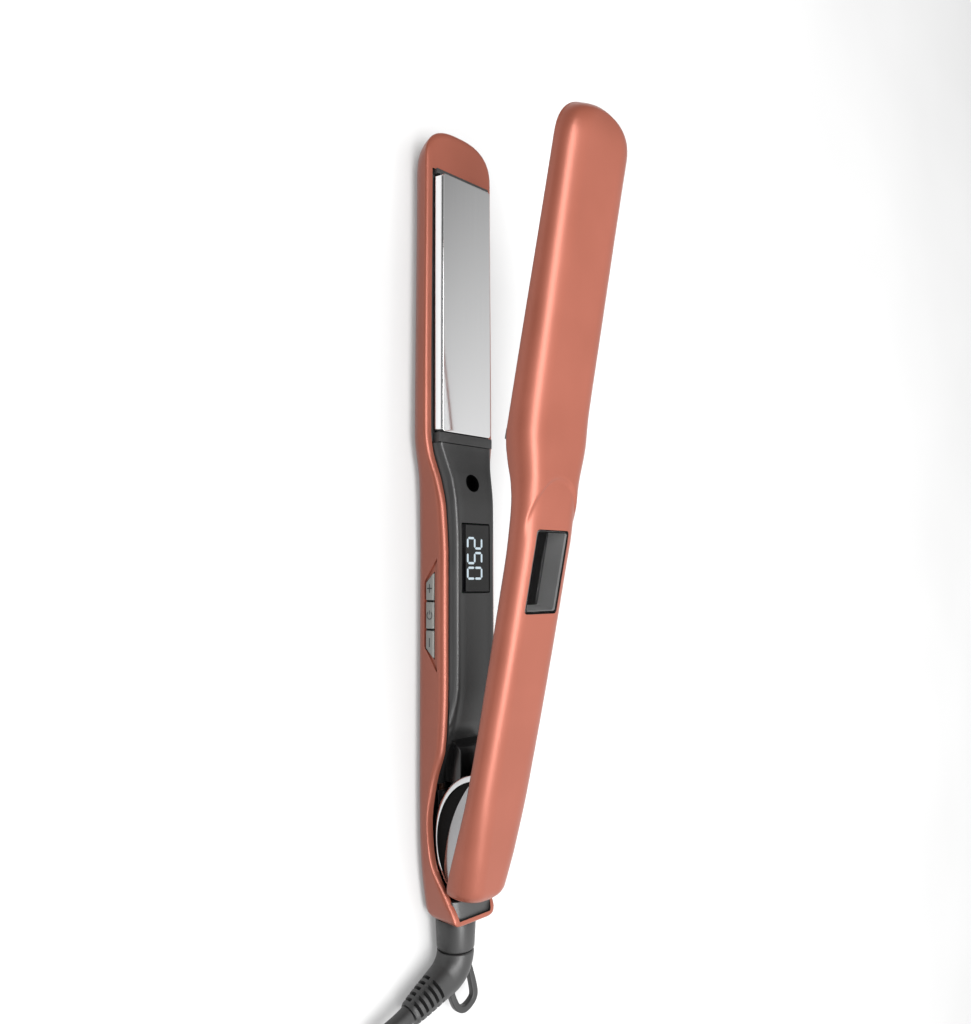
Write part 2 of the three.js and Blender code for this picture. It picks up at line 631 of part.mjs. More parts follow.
// Faces of a tube of rings with the same number of points, its flat ends as fans.
function tubeFaces(rings, sides) {
  const faces = [];
  for (let i = 0; i < rings - 1; i++) {
    for (let j = 0; j < sides; j++) {
      const a = i * sides + j;
      const b = i * sides + ((j + 1) % sides);
      faces.push(a, b, a + sides, b, b + sides, a + sides);
    }
  }
  const last = (rings - 1) * sides;
  for (let j = 1; j < sides - 1; j++) {
    faces.push(0, j + 1, j, last, last + j, last + j + 1);
  }
  return faces;
}

function swivelBarrel() {
  return turned([
    [-39.2, 2.5], [-39.2, BARREL_RADIUS - 0.8], [-38.8, BARREL_RADIUS - 0.5], [-29.2, BARREL_RADIUS],
    [-28.8, BARREL_RADIUS - 0.4], [-28.8, NECK_RADIUS], [-26.3, NECK_RADIUS], [-26.3, 3.2],
    [-23.4, 3.2], [-23.4, 2.5],
  ], 'x', 28).translate([0, 0, SWIVEL_Z]);
}

const retainingRing = () => turned([[-26, 3.5], [-26, 4.9], [-24.6, 4.9], [-24.6, 3.5]], 'x')
  .translate([0, 0, SWIVEL_Z]);

// Flat loop to hang the iron up by. Both of its ends meet the bend of the strain relief.
function hangingLoop() {
  const outline = [
    [-43, -5.2], [-45.2, -6.5], [-52, -8.9], [-58, -10.6], [-61.2, -7], [-61.9, -3.6],
    [-60.4, -0.4], [-56.2, 2.4], [-51.5, 4], [-46, 0],
  ];
  const hole = [
    [-46, -2], [-47.6, -4.6], [-55.6, -6.6], [-57.9, -6.2], [-59.5, -3.5], [-58, -0.7],
    [-55, 0.8], [-52.6, 0.6], [-50, -1],
  ];
  return plateXY(outline, 5.8, 8.8).subtract(plateXY(hole, 5, 10)).subtract(strainRelief(GAP));
}

const mainsWire = (side) => wire([
  [-22.6, side * 1.6, SWIVEL_Z], [-18, side * 2, 5.6], [-10, side * 3.4, 3.9],
  [12, side * 3.4, 3.9], [28, side * 3, 4.4], [39, side * 3, 7], [46, side * 3, 8.8],
], 1.1, 24);

// The cord leaves the sleeve, comes down to the table and lies beside the tail.
const LEAD_ROUTE = [
  [-54.35, 20.85, 7.3], [-55.5, 23.5, 7.25], [-56.7, 26.3, 7], [-58.4, 30.4, 6.5],
  [-61.2, 35.4, 5.9], [-65.2, 39.8, 5.3], [-70.2, 43.2, 4.8], [-76, 45.3, 4.5], [-82, 46, 4.3],
  [-107.4, 46, 4.3],
];
// The last stretch runs over the top of the hank to the plug, which lies on the tie.
const END_ROUTE = [
  [-127, 39.9, 22.6], [-135, 38.6, 22.6], [-143, 34.6, 22.9], [-150, 29.3, 24], [-156.5, 24.9, 25.6],
  [-161.5, 22.7, 26.9], [-165, 22.1, 27.4], [-167.6, 22, 27.5],
];
const HANK_Y = 22; // middle of the hank
const HANK_X0 = -227;
const HANK_X1 = -98;
const HANK_OUTER = 27;
const HANK_INNER = 15;
const HANK_BOTTOM = 1.3;
const HANK_LAYERS = 3;
const HANK_TOP = HANK_BOTTOM + HANK_LAYERS * 2 * CORD_RADIUS;
const TIE_TOP = HANK_TOP + 1.1;
const PLUG_AXIS_Z = 27.5;

function hankOutline(radius) {
  const ends = HANK_OUTER;
  return [
    ...arc(HANK_X1 - ends, HANK_Y, radius, radius, -90, 90, 12),
    ...arc(HANK_X0 + ends, HANK_Y, radius, radius, 90, 270, 12),
  ];
}

const cordHank = () => plateXY(
  hankOutline(HANK_OUTER), HANK_BOTTOM, HANK_TOP, [hankOutline(HANK_INNER)],
);

function cordTie() {
  const outer = box(-192, -185, HANK_Y - 28.3, HANK_Y + 28.3, 0.2, TIE_TOP);
  const inner = box(-196, -181, HANK_Y - 27.4, HANK_Y + 27.4, HANK_BOTTOM - GAP, HANK_TOP + GAP);
  return outer.subtract(inner);
}

function plugBody() {
  const outline = [
    [-168, -4], [-175, -4.8], [-182, -6.4], [-190, -17.6], [-203.7, -17.6], [-203.7, 17.6],
    [-190, 17.6], [-182, 6.4], [-175, 4.8], [-168, 4],
  ];
  return plateXY(outline, TIE_TOP + GAP, 2 * PLUG_AXIS_Z - TIE_TOP - GAP)
    .translate([0, HANK_Y, 0]);
}

const plugPin = (y) => turned(
  [[-223, 0], [-223, 1.2], [-222, 2], [-204, 2], [-204, 0]], 'x', 16,
).translate([0, y, PLUG_AXIS_Z]);

// ---------------------------------------------------------------- materials
const COLOURS = {
  copper: { color: 0xb5614c, roughness: 0.38, metalness: 0.6 },
  charcoal: { color: 0x2b2c2e, roughness: 0.55, metalness: 0 },
  black: { color: 0x121214, roughness: 0.5, metalness: 0 },
  glossBlack: { color: 0x060607, roughness: 0.08, metalness: 0 },
  buttonGrey: { color: 0x4a4340, roughness: 0.5, metalness: 0 },
  polished: { color: 0xc8c9cb, roughness: 0.08, metalness: 1 },
  chrome: { color: 0xd9dadc, roughness: 0.06, metalness: 1 },
  steel: { color: 0x9b9ea2, roughness: 0.35, metalness: 1 },
  brass: { color: 0xb08d4a, roughness: 0.3, metalness: 1 },
  ceramic: { color: 0xe4e0d6, roughness: 0.7, metalness: 0 },
  silicone: { color: 0xa33d2c, roughness: 0.8, metalness: 0 },
  board: { color: 0x1e5a35, roughness: 0.6, metalness: 0 },
  sensor: { color: 0xc9c3b4, roughness: 0.4, metalness: 0.3 },
  wire: { color: 0xd8d6d0, roughness: 0.6, metalness: 0 },
  rubber: { color: 0x2a2a2b, roughness: 0.75, metalness: 0 },
};

function mesh(name, solid, colour) {
  const piece = new THREE.Mesh(geometryOf(solid), new THREE.MeshStandardMaterial(COLOURS[colour]));
  piece.name = name;
  return piece;
}

// ---------------------------------------------------------------- assembly
function plateSet(arm, place, { tipHalf, cushionFoot, leadStart }) {
  return [
    mesh(`${arm}_plate_frame`, place(plateFrame(tipHalf)), 'charcoal'),
    mesh(`${arm}_heater_plate`, place(heaterPlate()), 'polished'),
    mesh(`${arm}_heater`, place(heater()), 'ceramic'),
    mesh(`${arm}_cushion_rear`, place(cushion(140, SET_BOTTOM)), 'silicone'),
    mesh(`${arm}_cushion_front`, place(cushion(220, cushionFoot)), 'silicone'),
    mesh(`${arm}_thermistor`, place(thermistor()), 'sensor'),
    mesh(`${arm}_thermal_fuse`, place(thermalFuse()), 'sensor'),
    mesh(`${arm}_heater_lead`, place(heaterLead(leadStart)), 'wire'),
  ];
}

function lowerArm() {
  return [
    mesh('lower_shell', lowerShell(), 'copper'),
    mesh('lower_inner_cover', lowerInnerCover(), 'charcoal'),
    mesh('display_window', displayWindow(), 'glossBlack'),
    mesh('display_module', displayModule(), 'black'),
    mesh('control_board', controlBoard(), 'board'),
    mesh('tail_insert', tailInsert(), 'charcoal'),
    ...BUTTONS.map((spec) => mesh(`button_${spec.key}`, button(spec), 'buttonGrey')),
    ...BUTTONS.map((spec) => mesh(`switch_${spec.key}`, buttonSwitch(spec), 'black')),
    ...plateSet('lower', (solid) => solid, { tipHalf: 13, cushionFoot: 2.3, leadStart: [109, 3, 9] }),
    mesh('mains_wire_left', mainsWire(1), 'wire'),
    mesh('mains_wire_right', mainsWire(-1), 'wire'),
  ];
}

function hinge() {
  return [
    mesh('hinge_pin', hingePin(), 'steel'),
    mesh('hinge_bush_left', hingeBush(3), 'brass'),
    mesh('hinge_bush_right', hingeBush(-6.4), 'brass'),
    mesh('hinge_spring', hingeSpring(), 'steel'),
    mesh('lower_hinge_bracket', lowerHingeBracket(), 'steel'),
    mesh('lower_screw_rear', screw(BRACKET_SCREWS[0], 3, 8.3), 'steel'),
    mesh('lower_screw_front', screw(BRACKET_SCREWS[1], 3, 8.3), 'steel'),
  ];
}

function upperArm() {
  return [
    mesh('upper_shell', upperShell(), 'copper'),
    mesh('upper_window', upperWindow(), 'glossBlack'),
    mesh('upper_inner_cover', upperInnerCover(), 'charcoal'),
    ...plateSet('upper', turnedOver, { tipHalf: 11.6, cushionFoot: 4.1, leadStart: [104, 3, 4.6] }),
    mesh('upper_hinge_bracket', upperHingeBracket(), 'steel'),
    mesh('upper_screw_rear', upperBracketScrew(UPPER_BRACKET_SCREWS[0]), 'steel'),
    mesh('upper_screw_front', upperBracketScrew(UPPER_BRACKET_SCREWS[1]), 'steel'),
    mesh('hinge_cheek_left', hingeCheek(1), 'chrome'),
    mesh('hinge_cheek_right', hingeCheek(-1), 'chrome'),
  ];
}

function cordEnd() {
  return [
    mesh('swivel_barrel', swivelBarrel(), 'rubber'),
    mesh('swivel_retaining_ring', retainingRing(), 'steel'),
    mesh('strain_relief', strainRelief(), 'rubber'),
    mesh('hanging_loop', hangingLoop(), 'rubber'),
    mesh('cord_lead', wire(LEAD_ROUTE, CORD_RADIUS, 16, 10), 'rubber'),
    mesh('cord_hank', cordHank(), 'rubber'),
    mesh('cord_end', wire(END_ROUTE, CORD_RADIUS, 14, 10), 'rubber'),
    mesh('cord_tie', cordTie(), 'rubber'),
    mesh('plug_body', plugBody(), 'rubber'),
    mesh('plug_pin_left', plugPin(HANK_Y + 9.5), 'steel'),
    mesh('plug_pin_right', plugPin(HANK_Y - 9.5), 'steel'),
  ];
}

// The upper arm is drawn shut, in the lower arm's frame, and swings up about the hinge pin.
const openArm = new THREE.Group();
openArm.position.set(0, 0, HINGE_Z);
openArm.rotation.y = -OPEN_ANGLE;
const shut = new THREE.Group();
shut.position.set(0, 0, -HINGE_Z);
shut.add(...upperArm());
openArm.add(shut);

const flatIron = new THREE.Group();
flatIron.add(...lowerArm(), ...hinge(), openArm, ...cordEnd());

export default flatIron;
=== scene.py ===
import json
from math import copysign, cos, hypot, pi, radians, sin

import bmesh
import bpy
import numpy as np
from mathutils import Matrix, Vector

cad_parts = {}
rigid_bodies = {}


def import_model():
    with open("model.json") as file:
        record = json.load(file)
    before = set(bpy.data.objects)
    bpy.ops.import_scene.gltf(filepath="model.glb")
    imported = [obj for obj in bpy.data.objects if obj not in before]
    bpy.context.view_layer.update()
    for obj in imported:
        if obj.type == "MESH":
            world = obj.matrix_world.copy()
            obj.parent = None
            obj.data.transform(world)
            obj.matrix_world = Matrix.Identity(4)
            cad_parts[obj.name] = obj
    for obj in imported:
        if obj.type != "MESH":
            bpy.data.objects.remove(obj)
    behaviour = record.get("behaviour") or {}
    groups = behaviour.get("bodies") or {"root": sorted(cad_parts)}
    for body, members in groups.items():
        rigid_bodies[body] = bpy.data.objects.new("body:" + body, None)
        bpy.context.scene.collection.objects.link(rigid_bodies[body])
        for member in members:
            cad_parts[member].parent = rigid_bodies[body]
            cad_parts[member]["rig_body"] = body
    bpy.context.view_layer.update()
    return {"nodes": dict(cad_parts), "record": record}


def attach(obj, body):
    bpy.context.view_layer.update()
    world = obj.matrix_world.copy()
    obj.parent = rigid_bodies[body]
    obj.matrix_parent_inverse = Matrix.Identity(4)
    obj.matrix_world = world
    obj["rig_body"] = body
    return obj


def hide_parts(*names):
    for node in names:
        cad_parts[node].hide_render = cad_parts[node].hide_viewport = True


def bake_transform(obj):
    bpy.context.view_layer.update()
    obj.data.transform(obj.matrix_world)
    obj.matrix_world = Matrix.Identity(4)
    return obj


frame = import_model()

# Shapes are worked out in millimetres in the frame's own axes: +X from the hinge to the tips,
# +Y the key side, +Z up. Pieces of the upper arm are drawn shut and swung open at the end.
MM = 0.001
HINGE_Z = 16.5
OPEN_ANGLE = radians(12.8)
TIP_LENGTH = 13.5
TIP_POWER = 2.6  # of the superellipse that rounds each tip in plan
LOWER_TIP_X = 247.5
UPPER_TIP_X = 239.5
TAIL_X = -28.5
UPPER_TAIL_X = -19.5
CAVITY_TIP_X = 231.4
HANDLE_SIDE = 12.8
WINDOW_X = (80.2, 106.8)
WINDOW_HALF = 7.3
SWIVEL_Z = 7.3
CORD_RADIUS = 3.0


# ---- small tools
def profile(knots):
    """A smooth curve through (x, value) knots that never overshoots them."""
    xs = [x for x, _ in knots]
    vs = [v for _, v in knots]
    slopes = [(vs[i + 1] - vs[i]) / (xs[i + 1] - xs[i]) for i in range(len(xs) - 1)]

    def tangent(i):
        before = slopes[i - 1] if i > 0 else 0
        after = slopes[i] if i < len(slopes) else 0
        return 2 * before * after / (before + after) if before * after > 0 else 0

    tangents = [tangent(i) for i in range(len(xs))]

    def at(x):
        if x <= xs[0]:
            return vs[0]
        if x >= xs[-1]:
            return vs[-1]
        i = next(k for k, value in enumerate(xs) if value > x) - 1
        width = xs[i + 1] - xs[i]
        t = (x - xs[i]) / width
        rise = vs[i + 1] - vs[i]
        a = tangents[i] * width - rise
        b = -tangents[i + 1] * width + rise
        return vs[i] + t * rise + t * (1 - t) * (a * (1 - t) + b * t)

    return at


def smoothstep(a, b, x):
    """0 before a, 1 after b and a smooth rise between them."""
    t = min(max((x - a) / (b - a), 0), 1)
    return t * t * (3 - 2 * t)


def arc(cy, cz, ry, rz, start, end, steps):
    """Part of an ellipse from one angle to another, in degrees."""
    angles = [radians(start + (end - start) * i / steps) for i in range(steps + 1)]
    return [(cy + ry * cos(a), cz + rz * sin(a)) for a in angles]


def spread(a, b, count):
    """Evenly spaced numbers from a to b."""
    return [a + (b - a) * i / (count - 1) for i in range(count)]


def smooth_path(points, step):
    """Points about one step apart on a Catmull-Rom curve through the given ones."""
    knots = [Vector(p) for p in points]
    knots = [2 * knots[0] - knots[1]] + knots + [2 * knots[-1] - knots[-2]]
    path = []
    for p0, p1, p2, p3 in zip(knots, knots[1:], knots[2:], knots[3:]):
        count = max(2, round((p2 - p1).length / step))
        for i in range(count):
            t = i / count
            path.append(0.5 * (
                2 * p1 + (p2 - p0) * t + (2 * p0 - 5 * p1 + 4 * p2 - p3) * t ** 2
                + (3 * p1 - p0 - 3 * p2 + p3) * t ** 3
            ))
    return path + [knots[-2]]


# ---- making pieces
def shade(mesh, angle=35):
    """Smooth shading that leaves every edge of more than this angle sharp."""
    mesh.polygons.foreach_set("use_smooth", [True] * len(mesh.polygons))
    mesh.set_sharp_from_angle(angle=radians(angle))
    mesh.update()


def in_scene(name, data):
    """A new object in the scene, from a mesh, a camera or a lamp."""
    thing = bpy.data.objects.new(name, data)
    bpy.context.scene.collection.objects.link(thing)
    return thing


def facing_out(mesh, dissolve=None):
    """Turns the faces of a mesh outwards. With dissolve, first merges the faces that lie within
    that many degrees of one plane."""
    work = bmesh.new()
    work.from_mesh(mesh)
    if dissolve:
        bmesh.ops.remove_doubles(work, verts=work.verts, dist=1e-6)
        bmesh.ops.dissolve_limit(
            work, angle_limit=radians(dissolve), verts=work.verts, edges=work.edges,
        )
    bmesh.ops.recalc_face_normals(work, faces=work.faces)
    work.to_mesh(mesh)
    work.free()


def object_of(name, verts, faces, materials, angle=35):
    """An object from points in millimetres."""
    mesh = bpy.data.meshes.new(name)
    mesh.from_pydata([Vector(v) * MM for v in verts], [], faces)
    facing_out(mesh)
    for material in materials:
        mesh.materials.append(material)
    shade(mesh, angle)
    return in_scene(name, mesh)


def baked(piece):
    """Applies the modifiers of a piece."""
    graph = bpy.context.evaluated_depsgraph_get()
    mesh = bpy.data.meshes.new_from_object(piece.evaluated_get(graph))
    piece.modifiers.clear()
    piece.data = mesh
    shade(mesh)
    return piece


def cut(piece, cutter):
    """Takes the cutter out of the piece and deletes the cutter."""
    change = piece.modifiers.new("cut", "BOOLEAN")
    change.operation = "DIFFERENCE"
    change.solver = "EXACT"
    change.object = cutter
    baked(piece)
    bpy.data.objects.remove(cutter)
    return piece


def bevelled(piece, width, segments):
    """Rounds off the edges of more than 30 degrees. The width is in millimetres."""
    bevel = piece.modifiers.new("edges", "BEVEL")
    bevel.width = width * MM
    bevel.segments = segments
    bevel.limit_method = "ANGLE"
    bevel.angle_limit = radians(30)
    bevel.harden_normals = False
    return baked(piece)


def joined(first, *others):
    """Adds the meshes of other pieces to the first one, keeping each one's materials."""
    with bpy.context.temp_override(
        active_object=first, object=first, selected_editable_objects=[first, *others],
    ):
        bpy.ops.object.join()
    return first


def swung_open(piece):
    """Turns a piece of the upper arm from its shut place to the open rest position."""
    pin = Matrix.Translation((0, 0, HINGE_Z * MM))
    piece.data.transform(pin @ Matrix.Rotation(-OPEN_ANGLE, 4, "Y") @ pin.inverted())
    return piece


def placed(piece, body, slot, *nodes):
    """Gives a finished piece its body and hides the CAD nodes that it stands for. The slot is not
    used.
    """
    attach(piece, body)
    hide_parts(*nodes)
    return piece


def refined(node, material, bevel, segments=2, dissolve=1.5):
    """A copy of a CAD node with its flat faces made whole and its edges rounded off."""
    mesh = frame["nodes"][node].data.copy()
    facing_out(mesh, dissolve)
    if "custom_normal" in mesh.attributes:
        mesh.attributes.remove(mesh.attributes["custom_normal"])
    mesh.materials.clear()
    mesh.materials.append(material)
    return bevelled(in_scene(node + "_detail", mesh), bevel, segments)


def carried_over(node, material, *form):
    """Shows a refined copy of a CAD node in its place, on its own body."""
    piece = refined(node, material, *form)
    row = next(part for part in frame["record"]["subparts"] if part["node"] == node)
    body = frame["nodes"][node]["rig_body"]
    return placed(piece, body, row["material_slot"], node)


def skin(rings, wrap=False):
    """Points and faces of a tube through closed rings of the same number of points.
    Its ends are capped, or with wrap its last ring is joined to its first."""
    count = len(rings[0])
    verts = [point for ring in rings for point in ring]
    faces = []
    for i in range(len(rings) if wrap else len(rings) - 1):
        for j in range(count):
            a = i * count + j
            b = i * count + (j + 1) % count
            faces.append((a, b, (b + count) % len(verts), (a + count) % len(verts)))
    if not wrap:
        faces.append(tuple(range(count))[::-1])
        faces.append(tuple(range(len(verts) - count, len(verts))))
    return verts, faces


def along_x(stations, section):
    """Rings for skin: the (y, z) outline that section gives at each x."""
    return [[(x, y, z) for y, z in section(x)] for x in stations]


def mirrored(half):
    """A whole outline from its half on the +Y side."""
    return half + [(-y, z) for y, z in reversed(half) if y > 1e-6]


def prism(name, outline, axis, start, end, materials):
    """A straight block from an outline: in X and Y for axis z, in X and Z for axis y."""
    if axis == "z":
        rings = [[(a, b, level) for a, b in outline] for level in (start, end)]
    else:
        rings = [[(a, level, b) for a, b in outline] for level in (start, end)]
    return object_of(name, *skin(rings), materials)


def turned(name, points, centre, axis, materials, steps=96, angle=35, wrap=False):
    """A turned piece: (distance along the axis, radius) points about a line through centre.
    With wrap the points are a closed outline, which makes a ring."""
    rings = []
    for along, radius in points:
        ring = []
        for k in range(steps):
            a = 2 * pi * k / steps
            offset = {
                "x": (along, radius * cos(a), radius * sin(a)),
                "y": (radius * cos(a), along, radius * sin(a)),
                "z": (radius * cos(a), radius * sin(a), along),
            }[axis]
            ring.append(tuple(c + o for c, o in zip(centre, offset)))
        rings.append(ring)
    return object_of(name, *skin(rings, wrap), materials, angle)


def rounded_rect(x0, x1, half, radius, steps=6, middle=0):
    """A rectangle with round corners, from x0 to x1 and half to each side of middle."""
    low = middle - half + radius
    high = middle + half - radius
    corners = [(x1 - radius, high, 0), (x0 + radius, high, 90),
               (x0 + radius, low, 180), (x1 - radius, low, 270)]
    return [p for cx, cy, a in corners for p in arc(cx, cy, radius, radius, a, a + 90, steps)]


# ---- material tools
class Nodes:
    """Short names for building a procedural material."""

    def __init__(self, name):
        self.material = bpy.data.materials.new(name)
        self.material.use_nodes = True
        self.tree = self.material.node_tree
        self.shader = self.tree.nodes["Principled BSDF"]
        self.coordinates = self.add("ShaderNodeTexCoord").outputs["Object"]

    def add(self, kind, inputs=None, **settings):
        node = self.tree.nodes.new(kind)
        for key, value in settings.items():
            setattr(node, key, value)
        for key, value in (inputs or {}).items():
            self.feed(node.inputs[key], value)
        return node

    def feed(self, socket, value):
        if isinstance(value, bpy.types.NodeSocket):
            self.tree.links.new(value, socket)
        else:
            socket.default_value = value

    def noise(self, scale, detail=3, stretch=None):
        """Noise with features about 1/scale metres across, stretched along an axis if asked."""
        where = self.coordinates
        if stretch:
            mapping = self.add("ShaderNodeMapping", {"Vector": where, "Scale": stretch})
            where = mapping.outputs["Vector"]
        node = self.add("ShaderNodeTexNoise", {"Vector": where, "Scale": scale, "Detail": detail})
        return node.outputs["Fac"]

    def ramp(self, value, low, high, start=0.3, end=0.7):
        """Fades from one colour to another as the value goes from start to end."""
        node = self.add("ShaderNodeValToRGB", {"Fac": value})
        first, last = node.color_ramp.elements
        first.position = start
        first.color = (*low, 1)
        last.position = end
        last.color = (*high, 1)
        return node.outputs["Color"]

    def between(self, value, low, high):
        """Moves a value of 0 to 1 into the range from low to high."""
        node = self.add("ShaderNodeMapRange", {"Value": value, "To Min": low, "To Max": high})
        return node.outputs["Result"]

    def bump(self, height, distance, strength=1.0, under=None):
        inputs = {"Height": height, "Distance": distance, "Strength": strength}
        if under:
            inputs["Normal"] = under
        return self.add("ShaderNodeBump", inputs).outputs["Normal"]

    def set(self, **values):
        """Feeds the shader, and returns the finished material."""
        names = {
            "colour": "Base Color", "roughness": "Roughness", "metallic": "Metallic",
            "normal": "Normal", "coat": "Coat Weight", "coat_roughness": "Coat Roughness",
            "specular": "Specular IOR Level", "alpha": "Alpha", "emission": "Emission Color",
            "emission_strength": "Emission Strength",
        }
        for key, value in values.items():
            self.feed(self.shader.inputs[names[key]], value)
        return self.material


def painted_copper():
    """Satin metallic lacquer: fine flake under a soft clear coat, a little orange peel."""
    n = Nodes("painted_copper")
    cloud = n.noise(45, 2)
    flake = n.noise(9000, 1)
    mottled = n.ramp(cloud, (0.245, 0.070, 0.043), (0.270, 0.079, 0.050))
    flecked = n.ramp(flake, (0.93, 0.93, 0.93), (1.0, 1.0, 1.0), 0.35, 0.75)
    colour = n.add("ShaderNodeMix", {6: mottled, 7: flecked, 0: 1.0}, data_type="RGBA",
                   blend_type="MULTIPLY").outputs[2]
    peel = n.bump(n.noise(1400, 2), 0.00002, 0.35)
    fine = n.bump(flake, 0.000006, 0.5, peel)
    return n.set(colour=colour, metallic=0.45, roughness=n.between(cloud, 0.34, 0.41),
                 coat=0.08, coat_roughness=0.32, normal=fine)


# Near-black bare plastic for the insides of the shells: partly their own colour, partly painted
# shade in the gap between each rim and its cover.
def inner_plastic_and_shade():
    n = Nodes("inner_plastic_and_shade")
    grain = n.noise(1500, 4)
    return n.set(colour=n.ramp(grain, (0.010, 0.009, 0.009), (0.018, 0.017, 0.016)),
                 roughness=0.6, normal=n.bump(grain, 0.00004, 0.5))


def charcoal_plastic(name="charcoal_plastic", dark=0.013, light=0.019, rough=(0.38, 0.46),
                     shine=0.8):
    """Moulded plastic with the fine grain of an etched tool."""
    n = Nodes(name)
    grain = n.noise(2600, 5)
    cloud = n.noise(60, 2)
    return n.set(colour=n.ramp(cloud, (dark,) * 3, (light,) * 3),
                 roughness=n.between(cloud, *rough), specular=shine,
                 normal=n.bump(grain, 0.00003, 0.45))


def window_black(name, colour, haze_scale, roughest, shine, alpha):
    """Glossy window plastic. An alpha below 1 lets some of what lies under it through."""
    n = Nodes(name)
    haze = n.noise(haze_scale, 3)
    return n.set(colour=(*colour, 1), roughness=n.between(haze, 0.04, roughest), specular=shine,
                 alpha=alpha)


def metal(name, colour, rough, brushed=None, depth=0.00001):
    """Bare metal; brushed gives the noise stretch that draws its fine lines."""
    n = Nodes(name)
    lines = n.noise(1, 4, brushed or (700, 700, 700))
    tone = [c * 0.9 for c in colour]
    return n.set(colour=n.ramp(lines, tone, colour), metallic=1.0,
                 roughness=n.between(lines, *rough), normal=n.bump(lines, depth, 0.4))


def polished_plate():
    """Mirror-polished coated aluminium with the faintest drawn lines along the plate."""
    n = Nodes("polished_plate")
    lines = n.noise(1, 3, (25, 2600, 2600))
    return n.set(colour=n.ramp(lines, (0.795, 0.795, 0.80), (0.81, 0.81, 0.815)),
                 metallic=1.0, roughness=n.between(lines, 0.09, 0.11),
                 normal=n.bump(lines, 0.0000004, 0.05))


def rubber(name, dark, light, grain_scale=1800, rough=(0.45, 0.6), shine=0.5):
    n = Nodes(name)
    grain = n.noise(grain_scale, 4)
    cloud = n.noise(70, 2)
    return n.set(colour=n.ramp(cloud, (dark,) * 3, (light,) * 3),
                 roughness=n.between(cloud, *rough), normal=n.bump(grain, 0.00004, 0.4),
                 specular=shine)


def speckled(name, low, high, scale, rough, depth=0.00005):
    """A plain mineral or moulded finish with a fine speckle."""
    n = Nodes(name)
    spots = n.noise(scale, 5)
    return n.set(colour=n.ramp(spots, low, high, 0.35, 0.65),
                 roughness=n.between(spots, *rough), normal=n.bump(spots, depth, 0.5))


def circuit_board():
    """Green solder mask with copper tracks showing through as a lighter pattern."""
    n = Nodes("circuit_board")
    tracks = n.add("ShaderNodeTexBrick", {
        "Vector": n.coordinates, "Scale": 260.0, "Mortar Size": 0.035,
        "Color1": (0.008, 0.075, 0.03, 1), "Color2": (0.010, 0.09, 0.035, 1),
        "Mortar": (0.03, 0.19, 0.08, 1),
    })
    return n.set(colour=tracks.outputs["Color"], roughness=n.between(n.noise(900), 0.25, 0.4),
                 normal=n.bump(tracks.outputs["Fac"], 0.00003, 0.5))


def glowing(name, colour, strength):
    n = Nodes(name)
    ripple = n.noise(700, 1)
    tint = n.ramp(ripple, [c * 0.93 for c in colour], colour, 0.2, 0.8)
    return n.set(colour=(0.02, 0.02, 0.02, 1), emission=tint, emission_strength=strength,
                 roughness=0.3)


COPPER = painted_copper()
INSIDE_AND_SHADE = inner_plastic_and_shade()
CHARCOAL = charcoal_plastic()
FRAME_BLACK = charcoal_plastic("frame_plastic", 0.012, 0.020, (0.4, 0.55))
HINGE_BLACK = charcoal_plastic("hinge_black", 0.006, 0.010, (0.22, 0.3), 0.6)
# Near black: the colour of black parts, and also painted shade in holes, in the cheeks' grooves and
# at the cheeks' lens edges.
BLACK_AND_SHADE = charcoal_plastic("black_and_shade", 0.002, 0.004, (0.6, 0.7), 0.1)
GLOSS = window_black("gloss_black", (0.002, 0.002, 0.0025), 500, 0.09, 0.14, 1)
LENS = window_black("smoked_lens", (0.001, 0.001, 0.001), 400, 0.1, 0.12, 0.3)
LINER = charcoal_plastic("window_liner", 0.50, 0.62, (0.5, 0.6), 0.4)
PLATE = polished_plate()
CHROME = metal("chrome", (0.62, 0.62, 0.63), (0.05, 0.10), depth=0.000002)
SATIN_CHROME = metal("satin_chrome", (0.36, 0.36, 0.365), (0.12, 0.18), (60, 900, 60), 0.000003)
STEEL = metal("steel", (0.50, 0.51, 0.53), (0.25, 0.4), (200, 2500, 200))
BRASS = metal("brass", (0.62, 0.45, 0.17), (0.2, 0.35), (300, 300, 2000))
NICKEL = metal("nickel", (0.62, 0.60, 0.56), (0.14, 0.26), (150, 2500, 2500))
CERAMIC = speckled("ceramic", (0.62, 0.58, 0.50), (0.78, 0.74, 0.67), 1800, (0.6, 0.8))
SILICONE = speckled("silicone", (0.34, 0.055, 0.03), (0.42, 0.075, 0.04), 1200, (0.6, 0.75))
SENSOR = speckled("sensor", (0.42, 0.38, 0.30), (0.60, 0.56, 0.48), 2500, (0.3, 0.45))
LEAD = speckled("lead_sleeve", (0.58, 0.56, 0.52), (0.72, 0.70, 0.66), 1500, (0.5, 0.65))
WIRE_BROWN = speckled("wire_brown", (0.045, 0.018, 0.009), (0.06, 0.024, 0.012), 1500, (0.4, 0.5))
WIRE_BLUE = speckled("wire_blue", (0.012, 0.03, 0.09), (0.016, 0.04, 0.12), 1500, (0.4, 0.5))
BOARD = circuit_board()
KEY = speckled("key_plastic", (0.150, 0.148, 0.137), (0.18, 0.177, 0.166), 2400, (0.4, 0.5),
               0.00003)
KEY_MARK = speckled("key_mark", (0.012, 0.012, 0.012), (0.02, 0.02, 0.02), 1500, (0.5, 0.6))
RUBBER = rubber("moulded_rubber", 0.016, 0.023, 1800, (0.36, 0.44), 0.5)
# Near black: painted shade at the bottoms of the sleeve's slots.
SLOT_SHADE = rubber("slot_painted_shade", 0.002, 0.004, 1800, (0.7, 0.8), 0.1)
JACKET = rubber("cord_jacket", 0.012, 0.020, 900, (0.38, 0.5))
GLOW = glowing("display_glow", (0.72, 0.86, 0.95), 0.85)
LCD = charcoal_plastic("lcd_glass", 0.016, 0.021, (0.3, 0.4), 0.3)


